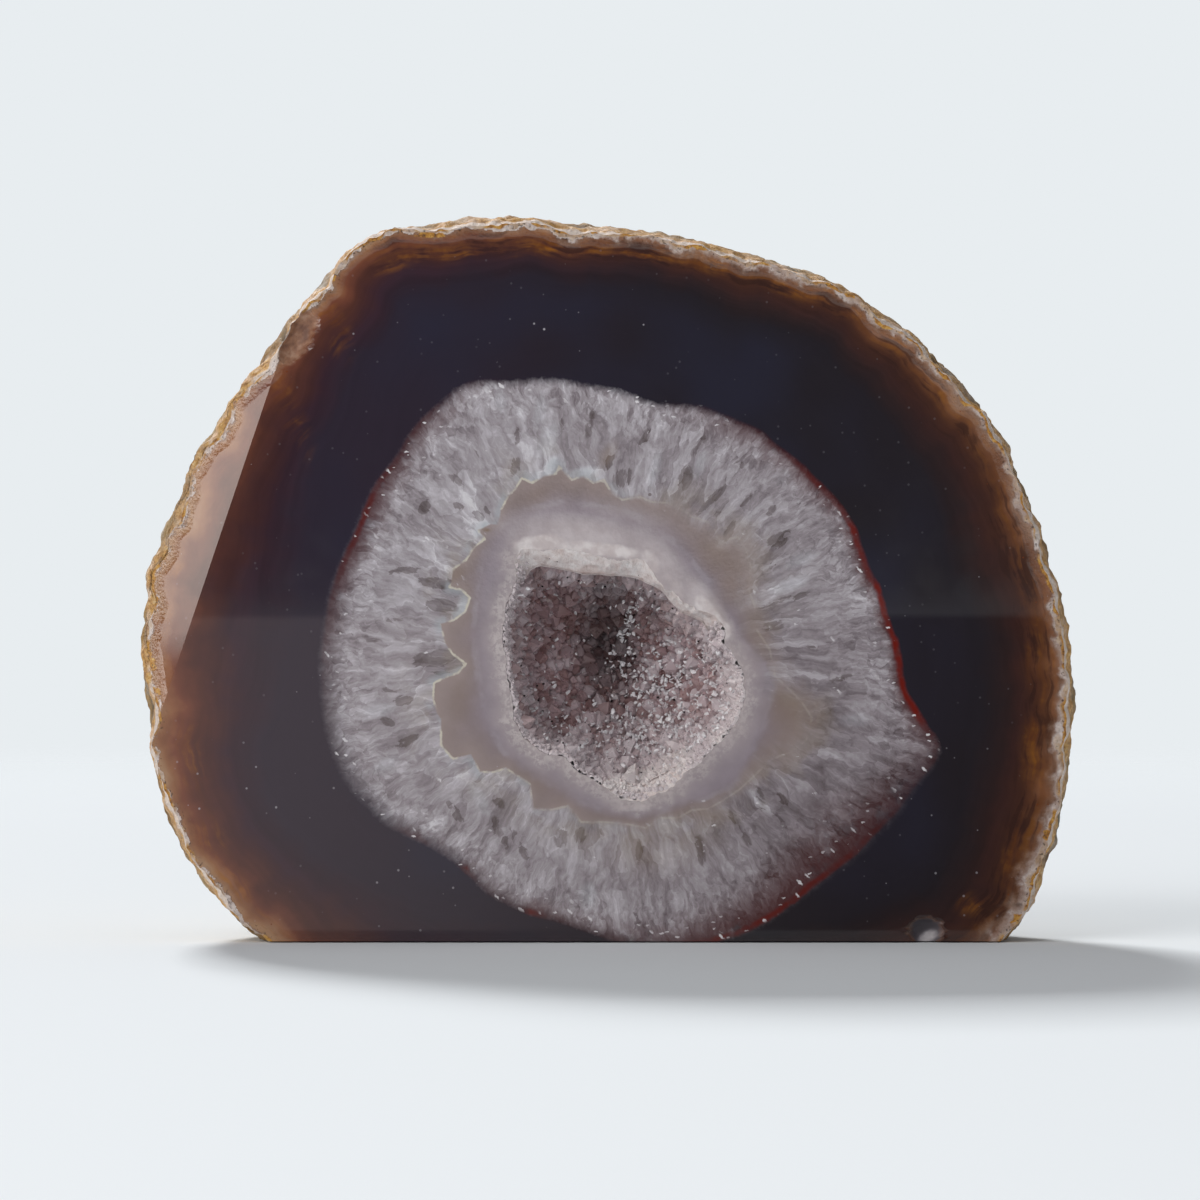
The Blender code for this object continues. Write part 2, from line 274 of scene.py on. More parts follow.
# ------------------------------------------------------------ outlines on arrays
def radius_of(points, centre):
    du = np.array([p[0] - centre[0] for p in points], float)
    dv = np.array([centre[1] - p[1] for p in points], float)
    angle, radius = np.arctan2(dv, du), np.hypot(du, dv) * UNIT
    return lambda a: np.interp(a, angle, radius, period=2 * math.pi)


def softened(outline, spread, count=360):
    angles = np.arange(count) * 2 * math.pi / count
    offsets = np.linspace(-spread, spread, 25)
    weights = np.cos(offsets / spread * math.pi / 2)
    mean = sum(w * outline(angles + o) for o, w in zip(offsets, weights)) / weights.sum()
    return lambda a: np.interp(a, angles, mean, period=2 * math.pi)


def rounded(points, steps=4):
    """A closed smooth curve through the drawn points."""
    p = np.array(points, float)
    a, b, c, d = np.roll(p, 1, 0), p, np.roll(p, -1, 0), np.roll(p, -2, 0)
    out = []
    for s in range(steps):
        t = s / steps
        out.append(
            0.5 * (2 * b + (c - a) * t + (2 * a - 5 * b + 4 * c - d) * t**2 + (3 * b - a - 3 * c + d) * t**3)
        )
    return np.stack(out, 1).reshape(-1, 2)


def gap_to(p, line):
    """Distance from each of p to a closed outline, in sheet units."""
    best = np.full(len(p), 1e9)
    for a, b in zip(line, np.roll(line, -1, 0)):
        ab = b - a
        t = np.clip(((p - a) @ ab) / max(ab @ ab, 1e-12), 0, 1)
        away = p - a - t[:, None] * ab
        best = np.minimum(best, (away**2).sum(1))
    return np.sqrt(best)


def anticlockwise(line):
    u, v = line[:, 0], line[:, 1]
    return line if (u * np.roll(v, -1) - v * np.roll(u, -1)).sum() > 0 else line[::-1]


def within(p, line):
    inside = np.zeros(len(p), bool)
    for a, b in zip(line, np.roll(line, -1, 0)):
        if a[1] == b[1]:
            continue
        crosses = (a[1] > p[:, 1]) != (b[1] > p[:, 1])
        inside ^= crosses & (p[:, 0] < (b[0] - a[0]) * (p[:, 1] - a[1]) / (b[1] - a[1]) + a[0])
    return inside


def signed(p, line):
    return np.where(within(p, line), 1.0, -1.0) * gap_to(p, line)


def patches(p, shapes, edge=0.45):
    """How much each of p lies in the drawn ellipses, 0 to about 1."""
    best = np.zeros(len(p))
    for u, v, long, wide, lean, strength in shapes:
        c, s = math.cos(math.radians(lean)), math.sin(math.radians(lean))
        du, dv = p[:, 0] - u, v - p[:, 1]
        rho = np.hypot((du * c + dv * s) / long, (-du * s + dv * c) / wide)
        best = np.maximum(best, strength * (1 - smooth(rho, 1 - edge, 1 + edge)))
    return best


# ------------------------------------------------------------ meshes
def make_piece(name, verts, faces, material, values=None, uv=None, smooth_angle=None):
    mesh = bpy.data.meshes.new(name)
    mesh.from_pydata(np.asarray(verts, float).tolist(), [], [list(map(int, f)) for f in faces])
    for key, value in (values or {}).items():
        value = np.asarray(value, np.float32)
        if value.ndim == 2:
            layer = mesh.attributes.new(key, "FLOAT_VECTOR", "POINT")
            layer.data.foreach_set("vector", value.ravel())
        else:
            layer = mesh.attributes.new(key, "FLOAT", "POINT")
            layer.data.foreach_set("value", value)
    if uv is not None:
        layer = mesh.uv_layers.new(name="OFBake")
        corner = np.zeros(len(mesh.loops), int)
        mesh.loops.foreach_get("vertex_index", corner)
        layer.data.foreach_set("uv", np.asarray(uv, np.float32)[corner].ravel())
    if smooth_angle is None:
        mesh.shade_flat()
    else:
        mesh.shade_smooth()
        if smooth_angle < 180:
            mesh.set_sharp_from_angle(angle=math.radians(smooth_angle))
    mesh.materials.append(material)
    mesh.validate()
    obj = bpy.data.objects.new(name, mesh)
    bpy.context.scene.collection.objects.link(obj)
    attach(obj, "root")
    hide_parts("agate_geode")
    return obj


def flat_uv(x, y):
    """A flat layout that fills 0 to 1 and keeps the piece's shape."""
    span = max(np.ptp(x), np.ptp(y))
    return 0.005 + 0.99 * np.stack([(x - x.min()) / span, (y - y.min()) / span], 1)


def ground(points):
    """Points pushed back to the ground flat and into the two chips."""
    p = points.copy()
    (xa, za), (xb, zb) = at(*LEFT_FLAT[0]), at(*LEFT_FLAT[1])
    length = math.hypot(xb - xa, zb - za)
    ox, oz = (zb - za) / length, -(xb - xa) / length
    if ox > 0:
        ox, oz = -ox, -oz
    out = (p[:, 0] - xa) * ox + (p[:, 2] - za) * oz
    p[:, 1] = np.where(out > 0, np.maximum(p[:, 1], FACE_Y + out * math.tan(FLAT_TILT)), p[:, 1])
    for middle, long, wide, deep, lean in CHIPS.values():
        x, z = at(*middle)
        dx, dz = p[:, 0] - x, p[:, 2] - z
        c, s = math.cos(lean), math.sin(lean)
        across, along = dx * c - dz * s, dx * s + dz * c
        rho = np.hypot(across / (wide / 0.87), along / (long / 0.87))
        ripple = 0.00004 * np.sin(rho * 17) * (rho > 0.3) * (lean == 0)
        scoop = FACE_Y - deep + 2 * deep / 0.87 * np.sqrt(np.clip(1 - rho**2, 0, 1)) + ripple
        p[:, 1] = np.where(rho < 1, np.maximum(p[:, 1], scoop), p[:, 1])
    return p


# ------------------------------------------------------------ the rough stone
drawn = radius_of(NODULE, HEART)
soft = softened(drawn, math.radians(13))
HX, HZ = at(*HEART)
COLUMNS = 1440


def stone(a, phi):
    """Points of the rough stone at angle a and latitude phi, with its relief: (points, relief)."""
    reach = np.where(phi > 0, DEPTH - GIRTH_DEPTH, FRONT_REACH)
    y = FACE_Y + GIRTH_DEPTH + reach * np.sin(phi)
    size = GIRTH * np.clip(np.cos(phi), 0, 1) ** 0.86
    faded = smooth((y - FACE_Y - 0.001) / CREST_FADE)
    behind = smooth((y - FACE_Y - SWELL_START) / SWELL_RAMP)
    r = ((1 - faded) * drawn(a) + faded * soft(a)) * size
    here = np.stack([HX + r * np.cos(a), y, HZ + r * np.sin(a)], 1)
    flat = np.clip(np.cos(phi), 0, 1)
    out = np.stack([np.cos(a) * flat, np.sin(phi), np.sin(a) * flat], 1)
    swell = np.zeros(len(a))
    if behind.max() > 0:
        spots = here.tolist()
        fine = smooth(size / 0.4)
        for n, (rise, pitch) in enumerate(SWELLS):
            shift = Vector((7.3, 1.9, 4.4)) * n
            swell += rise * (1 if n < 2 else fine) * np.array([noise.noise(Vector(s) * pitch + shift) for s in spots])
    grain = (
        0.00062 * swirl(here, 230, 1)
        + 0.00036 * swirl(here, 480, 2)
        + 0.00022 * swirl(here, 900, 3)
        + 0.00008 * swirl(here, 2700, 4)
    )
    back = smooth((y - FACE_Y - 0.002) / 0.018)
    lump, luck = pebbles(here + 0.0012 * swirl(here, 300, 7)[:, None], 175, 1)
    knobs = np.clip(1 - lump / 0.72, 0, 1) ** 0.8 * (0.35 + 0.65 * luck)
    pit, chance = pebbles(here, 420, 3)
    pits = (1 - smooth(pit, 0.12, 0.45)) * (chance > 0.52) * smooth(swirl(here, 70, 9), -0.25, 0.35)
    crease = 1 - np.abs(swirl(here, 95, 5)) * 3.2
    relief = grain + back * (
        0.00105 * knobs * smooth(swirl(here, 42, 6), -0.45, 0.3)
        - 0.00075 * pits
        - 0.00055 * smooth(crease, 0.55, 1.0)
        + 0.00060 * swirl(here, 115, 8)
    )
    edge = y - FACE_Y < 1e-6
    out[edge] = np.stack([np.cos(a), 0 * a, np.sin(a)], 1)[edge]
    point = here + out * (swell * behind + relief)[:, None]
    point[:, 1] = np.where(edge, FACE_Y, np.maximum(point[:, 1], FACE_Y + 0.00002))
    return point, relief


def latitudes():
    """Latitudes from the sawn front to the back, evenly spaced along the surface, closer at the front."""
    phi = np.linspace(math.asin(-GIRTH_DEPTH / FRONT_REACH), math.pi / 2, 4000)
    reach = np.where(phi > 0, DEPTH - GIRTH_DEPTH, FRONT_REACH)
    y, r = reach * np.sin(phi), 0.064 * np.clip(np.cos(phi), 0, 1) ** 0.86
    length = np.concatenate([[0], np.cumsum(np.hypot(np.diff(y), np.diff(r)))])
    stops = [0.0]
    while stops[-1] < length[-1]:
        s = stops[-1]
        stops.append(s + (0.00032 if s < 0.0030 else 0.00045 if s < 0.006 else 0.00062))
    return np.interp([s for s in stops if s < length[-1] - 0.0004], length, phi)


def rind_mesh():
    rows, points, reliefs, counts = [], [], [], []
    n, start = COLUMNS, 0
    for k, phi in enumerate(latitudes()):
        girth = 2 * math.pi * 0.064 * math.cos(phi) ** 0.86
        if n == COLUMNS and k > 9:
            n //= 2
        if k > 10 and n > 24 and girth / n < 0.00036:
            n //= 2
        a = 2 * math.pi * np.arange(n) / n
        p, relief = stone(a, np.full(n, phi))
        points.append(p)
        reliefs.append(relief)
        rows.append(np.arange(start, start + n))
        counts.append(phi)
        start += n
    p, relief = stone(np.zeros(1), np.array([math.pi / 2]))
    points.append(p)
    reliefs.append(relief)
    faces = []
    for low, high in zip(rows, rows[1:]):
        n, m = len(low), len(high)
        i = np.arange(m)
        j = (i + 1) % m
        if n == m:
            faces.append(np.stack([low[i], low[j], high[j]], 1))
            faces.append(np.stack([low[i], high[j], high[i]], 1))
        else:
            a, b, c = low[2 * i], low[2 * i + 1], low[(2 * i + 2) % n]
            faces.append(np.stack([a, b, high[i]], 1))
            faces.append(np.stack([b, high[j], high[i]], 1))
            faces.append(np.stack([b, c, high[j]], 1))
    last = rows[-1]
    faces.append(np.stack([last, np.roll(last, -1), np.full(len(last), start)], 1))
    lat = np.concatenate([np.full(len(r), c) for r, c in zip(rows, counts)] + [[math.pi / 2]])
    return np.concatenate(points), np.concatenate(faces), np.concatenate(reliefs), lat


def cut_at_base(verts, faces, relief, lat):
    """The part of the mesh above z = 0, with new points along the cut."""
    z = verts[:, 2]
    above = z > 0
    count = above[faces].sum(1)
    keep = [faces[count == 3]]
    new_points, new_relief, new_lat, made = [], [], [], {}

    def crossing(i, j):
        key = (min(i, j), max(i, j))
        if key not in made:
            i, j = key
            t = z[i] / (z[i] - z[j])
            q = verts[i] + t * (verts[j] - verts[i])
            q[2] = 0.0
            made[key] = len(verts) + len(new_points)
            new_points.append(q)
            new_relief.append(relief[i] + t * (relief[j] - relief[i]))
            new_lat.append(lat[i] + t * (lat[j] - lat[i]))
        return made[key]

    extra = []
    for f in faces[(count == 1) | (count == 2)].tolist():
        while above[f[0]] or not above[f[1]]:
            f = f[1:] + f[:1]
        a, b, c = f  # a is below and b is above
        if above[c]:
            p, q = crossing(a, b), crossing(a, c)
            extra += [(p, b, c), (p, c, q)]
        else:
            extra.append((crossing(a, b), b, crossing(b, c)))
    keep.append(np.array(extra, int))
    faces = np.concatenate(keep)
    verts = np.concatenate([verts, np.array(new_points)])
    relief = np.concatenate([relief, new_relief])
    lat = np.concatenate([lat, new_lat])
    used, index = np.unique(faces, return_inverse=True)
    return verts[used], index.reshape(-1, 3), relief[used], lat[used]


# ------------------------------------------------------------ node writing
def rgb(hex_colour, gain=1.0):
    """A linear colour from its usual hex name."""
    c = [int(hex_colour[i : i + 2], 16) / 255 for i in (1, 3, 5)]
    return tuple(min(1.0, gain * (x / 12.92 if x <= 0.04045 else ((x + 0.055) / 1.055) ** 2.4)) for x in c) + (1.0,)


class Shade:
    """A material whose nodes are written as expressions."""

    def __init__(self, name):
        self.mat = bpy.data.materials.new(name)
        self.mat.use_nodes = True
        self.nodes, self.links = self.mat.node_tree.nodes, self.mat.node_tree.links
        self.nodes.clear()
        self.out = self.nodes.new("ShaderNodeOutputMaterial")
        self.bsdf = self.nodes.new("ShaderNodeBsdfPrincipled")
        self.links.new(self.bsdf.outputs[0], self.out.inputs[0])
        self.names = {}

    def put(self, socket, value):
        if isinstance(value, bpy.types.NodeSocket):
            self.links.new(value, socket)
        elif value is not None:
            socket.default_value = value

    def set(self, **values):
        for key, value in values.items():
            self.put(self.bsdf.inputs[key.replace("_", " ")], value)

    def attr(self, name, vector=False):
        if name not in self.names:
            node = self.nodes.new("ShaderNodeAttribute")
            node.attribute_name = name
            self.names[name] = node
        return self.names[name].outputs["Vector" if vector else "Fac"]

    def where(self):
        if "where" not in self.names:
            self.names["where"] = self.nodes.new("ShaderNodeTexCoord")
        return self.names["where"].outputs["Object"]

    def math(self, op, a, b=None, c=None, clamp=False):
        node = self.nodes.new("ShaderNodeMath")
        node.operation, node.use_clamp = op, clamp
        for socket, value in zip(node.inputs, (a, b, c)):
            self.put(socket, value)
        return node.outputs[0]

    def add(self, *terms):
        total = terms[0]
        for t in terms[1:]:
            total = self.math("ADD", total, t)
        return total

    def mul(self, *terms):
        total = terms[0]
        for t in terms[1:]:
            total = self.math("MULTIPLY", total, t)
        return total

    def most(self, *terms):
        total = terms[0]
        for t in terms[1:]:
            total = self.math("MAXIMUM", total, t)
        return total

    def off(self, x):
        return self.math("SUBTRACT", 1.0, x)

    def step(self, x, low, high, a=0.0, b=1.0, kind="SMOOTHSTEP"):
        node = self.nodes.new("ShaderNodeMapRange")
        node.interpolation_type = kind
        for socket, value in zip(node.inputs, (x, low, high, a, b)):
            self.put(socket, value)
        return node.outputs[0]

    def vec(self, x, y, z):
        node = self.nodes.new("ShaderNodeCombineXYZ")
        for socket, value in zip(node.inputs, (x, y, z)):
            self.put(socket, value)
        return node.outputs[0]

    def vmath(self, op, a, b=None, scale=None):
        node = self.nodes.new("ShaderNodeVectorMath")
        node.operation = op
        self.put(node.inputs[0], a)
        if b is not None:
            self.put(node.inputs[1], b)
        if scale is not None:
            self.put(node.inputs["Scale"], scale)
        return node.outputs[0]

    def noise(self, where, scale, detail=2.0, rough=0.5, distortion=0.0, colour=False):
        node = self.nodes.new("ShaderNodeTexNoise")
        self.put(node.inputs["Vector"], where)
        self.put(node.inputs["Scale"], scale)
        node.inputs["Detail"].default_value = detail
        node.inputs["Roughness"].default_value = rough
        node.inputs["Distortion"].default_value = distortion
        return node.outputs["Color" if colour else "Fac"]

    def cells(self, where, scale, feature="F1", randomness=1.0):
        node = self.nodes.new("ShaderNodeTexVoronoi")
        node.feature = feature
        self.put(node.inputs["Vector"], where)
        self.put(node.inputs["Scale"], scale)
        node.inputs["Randomness"].default_value = randomness
        return node.outputs["Distance"], node.outputs.get("Color")

    def channel(self, colour, index=0):
        node = self.nodes.new("ShaderNodeSeparateColor")
        self.put(node.inputs[0], colour)
        return node.outputs[index]

    def ramp(self, x, stops, kind="LINEAR"):
        node = self.nodes.new("ShaderNodeValToRGB")
        node.color_ramp.interpolation = kind
        marks = node.color_ramp.elements
        while len(marks) < len(stops):
            marks.new(0.5)
        for mark, (place, colour) in zip(marks, sorted(stops)):
            mark.position = place
            mark.color = rgb(colour) if isinstance(colour, str) else colour
        self.put(node.inputs[0], x)
        return node.outputs[0]

    def mix(self, share, a, b, blend="MIX"):
        node = self.nodes.new("ShaderNodeMix")
        node.data_type, node.blend_type = "RGBA", blend
        self.put(node.inputs[0], share)
        self.put(node.inputs[6], rgb(a) if isinstance(a, str) else a)
        self.put(node.inputs[7], rgb(b) if isinstance(b, str) else b)
        return node.outputs[2]

    def gain(self, colour, amount):
        """The colour made lighter or darker."""
        node = self.nodes.new("ShaderNodeVectorMath")
        node.operation = "SCALE"
        self.put(node.inputs[0], colour)
        self.put(node.inputs["Scale"], amount)
        return node.outputs[0]

    def specks(self, where, scale, radius, kept):
        """Scattered dots: 1 in a dot and 0 outside, in kept of the cells."""
        distance, colour = self.cells(where, scale)
        chosen = self.math("LESS_THAN", self.channel(colour, 0), kept)
        size = self.math("MULTIPLY_ADD", self.channel(colour, 1), radius * 0.7, radius * 0.3)
        return self.mul(chosen, self.step(self.math("DIVIDE", distance, size), 1.2, 0.7))

    def bump(self, height, distance, strength=1.0):
        node = self.nodes.new("ShaderNodeBump")
        node.inputs["Distance"].default_value = distance
        node.inputs["Strength"].default_value = strength
        self.put(node.inputs["Height"], height)
        self.put(self.bsdf.inputs["Normal"], node.outputs[0])


# ------------------------------------------------------------ finishes
def polished(name, comb_side):
    """The sawn and polished face: rind in section and banded agate, or quartz comb and chalcedony."""
    s = Shade(name)
    where = s.vmath("SCALE", s.where(), scale=0.01 / UNIT)  # hundreds of sheet units
    ring = s.attr("ring", vector=True)  # cosine and sine round the middle, and radius
    rim, band, west, chip = s.attr("rim"), s.attr("band"), s.attr("west"), s.attr("chip")

    def n(scale, detail=2.0, rough=0.5):
        return s.math("SUBTRACT", s.noise(where, scale, detail, rough), 0.5)

    # banded agate, from the crust inwards
    sway = s.add(band, s.mul(n(1.4), 0.42), s.mul(n(6.0), 0.13))
    east = s.ramp(sway, [
        (0.00, "#a07e68"), (0.10, "#83573e"), (0.20, "#643e2a"), (0.34, "#4b2c21"), (0.50, "#3f2622"),
        (0.66, "#322222"), (0.82, "#2a2023"), (0.98, "#252026"),
    ])
    westward = s.ramp(sway, [
        (0.00, "#b08a69"), (0.10, "#986848"), (0.20, "#784634"), (0.34, "#5a342b"), (0.50, "#482a2a"),
        (0.66, "#3b2630"), (0.82, "#352631"), (0.98, "#312835"),
    ])
    agate = s.mix(west, east, westward)
    fade = s.step(band, 1.25, 0.55)
    streaks = s.noise(
        s.vmath("MULTIPLY", s.vec(s.channel(ring, 0), s.channel(ring, 1), s.add(band, s.mul(n(0.9), 0.5))), (1.6, 1.6, 7.0)),
        1.0, 3, 0.6,
    )
    agate = s.gain(agate, s.add(1.0, s.mul(s.math("SUBTRACT", streaks, 0.5), s.add(0.12, s.mul(fade, 0.62)))))
    agate = s.mix(s.mul(s.step(s.noise(where, 0.9, 1), 0.35, 0.75), s.step(band, 0.8, 1.5), 0.6), agate, "#2b2c3f")

    if comb_side:
        colour, rough_more = comb_and_heart(s, where, ring, n, agate)
        height = s.mul(s.noise(where, 26.0, 2), s.step(s.attr("inq"), 4.0, 30.0), 0.3)
    else:
        colour, rough_more = section_of_rind(s, where, ring, n, agate, rim, band, west)
        height = s.mul(s.noise(where, 30.0, 3, 0.6), s.step(rim, 14.0, 8.0))

    dust = s.mul(s.specks(where, 4.4, 0.042, 0.4), 0.5)
    dust = s.most(dust, s.mul(s.specks(where, 9.0, 0.15, 0.5), s.step(s.noise(where, 3.0, 2), 0.36, 0.52), s.add(0.10, s.attr("dusty")), 0.8))
    colour = s.mix(dust, colour, "#c0bcc3")

    # broken surfaces: the shoulder chip is brown and glassy, the base chip whitish
    shell = s.mix(
        s.attr("chipwhite"),
        s.ramp(s.noise(where, 9.0, 3), [(0.3, "#704a38"), (0.5, "#93694f"), (0.72, "#b3927c")]),
        s.ramp(s.add(s.attr("crescent"), s.mul(n(14.0, 3), 0.3)), [(0.1, "#474147"), (0.40, "#585258"), (0.75, "#8f8a8e"), (1.0, "#b3aeb0")]),
    )
    colour = s.mix(chip, colour, shell)
    polish = s.add(0.05, s.mul(s.step(s.noise(where, 3.0, 2), 0.4, 0.8), 0.03), rough_more, s.mul(chip, 0.50))
    s.set(Base_Color=colour, Roughness=polish, IOR=1.54, Metallic=0.0)
    s.bump(height, 0.00016, 0.6)
    return s.mat


def section_of_rind(s, where, ring, n, agate, rim, band, west):
    """The edge of the face: translucent tan, amber, white crust and ochre pockets."""
    along = s.vec(s.mul(s.channel(ring, 0), 8.0), s.mul(s.channel(ring, 1), 8.0), s.mul(s.add(rim, s.mul(n(2.2), 9.0)), 0.15))
    streak = s.add(s.noise(along, 1.0, 3, 0.5), s.mul(n(9.0, 3), 0.26))
    away = s.step(west, 0.995, 0.95)
    dark = s.mul(s.step(streak, 0.50, 0.38), s.step(band, 0.06, 0.16), s.step(band, 0.62, 0.34), away, 0.5)
    agate = s.mix(dark, agate, "#2b1815")
    warm = s.most(s.attr("amber"), s.mul(s.step(band, 0.05, 0.12), s.step(band, 0.40, 0.2), away, 0.28))
    agate = s.mix(s.mul(warm, s.step(streak, 0.40, 0.68)), agate, s.mix(s.step(n(7.0), -0.1, 0.12), "#7d4714", "#a8691c"))
    lobe, _ = s.cells(where, 9.0)
    deep = s.math(
        "DIVIDE", s.add(rim, s.mul(n(8.0, 4, 0.6), 17.0), s.mul(n(2.4), 12.0), s.mul(lobe, 4.5), -2.5), s.attr("crust")
    )
    tan = s.ramp(s.noise(where, 7.0, 4, 0.6), [(0.3, "#644636"), (0.5, "#8a6c5a"), (0.72, "#aa9284")])
    veil = s.mul(s.step(deep, 19.0, 7.0), s.step(s.noise(where, 4.2, 3), 0.40, 0.60, 0.15, 1.0))
    colour = s.mix(veil, agate, tan)
    white = s.ramp(s.noise(where, 24.0, 4, 0.65), [(0.28, "#9c8a82"), (0.43, "#c4b5ae"), (0.60, "#dccfc9"), (0.8, "#ebe4df")])
    east = s.step(west, 0.6, 0.1)
    crusty = s.step(deep, s.add(7.6, s.mul(east, 3.5)), s.add(6.0, s.mul(east, -3.0)))
    white = s.mix(s.mul(east, s.step(s.noise(where, 4.0, 3), 0.35, 0.60), 0.8), white, "#a98f82")
    colour = s.mix(crusty, colour, white)
    blush = s.mul(s.step(deep, 5.4, 3.6), s.step(s.noise(where, 5.2, 3), 0.40, 0.60), 0.75)
    colour = s.mix(blush, colour, s.ramp(s.noise(where, 13.0, 3), [(0.35, "#8a6a4a"), (0.5, "#b8946c"), (0.65, "#cdb79c")]))
    ochre = s.ramp(s.noise(where, 22.0, 4, 0.7), [
        (0.30, "#5a3a18"), (0.42, "#9a6420"), (0.55, "#c08a34"), (0.68, "#cfa65c"), (0.8, "#e0c9a0"),
    ])
    skin = s.mul(
        s.step(s.add(rim, s.mul(n(9.0, 3), 8.0)), 3.2, 1.6), s.step(s.noise(where, 3.1, 3), 0.44, 0.56),
    )
    skin = s.most(skin, s.step(s.add(s.attr("pocket"), s.mul(n(22.0, 2), 0.5)), 0.32, 0.5))
    colour = s.mix(skin, colour, ochre)
    rust = s.mul(s.specks(where, 8.0, 0.11, 0.35), s.step(rim, 34.0, 18.0), 0.75)
    colour = s.mix(rust, colour, "#7c3a14")
    black = s.mul(s.step(s.noise(where, 34.0, 2), 0.60, 0.68), s.step(rim, 9.0, 3.0))
    colour = s.mix(s.most(s.mul(black, 0.7), s.attr("hole")), colour, "#2a1d12")
    return colour, s.add(s.mul(crusty, 0.30), s.mul(skin, 0.30))


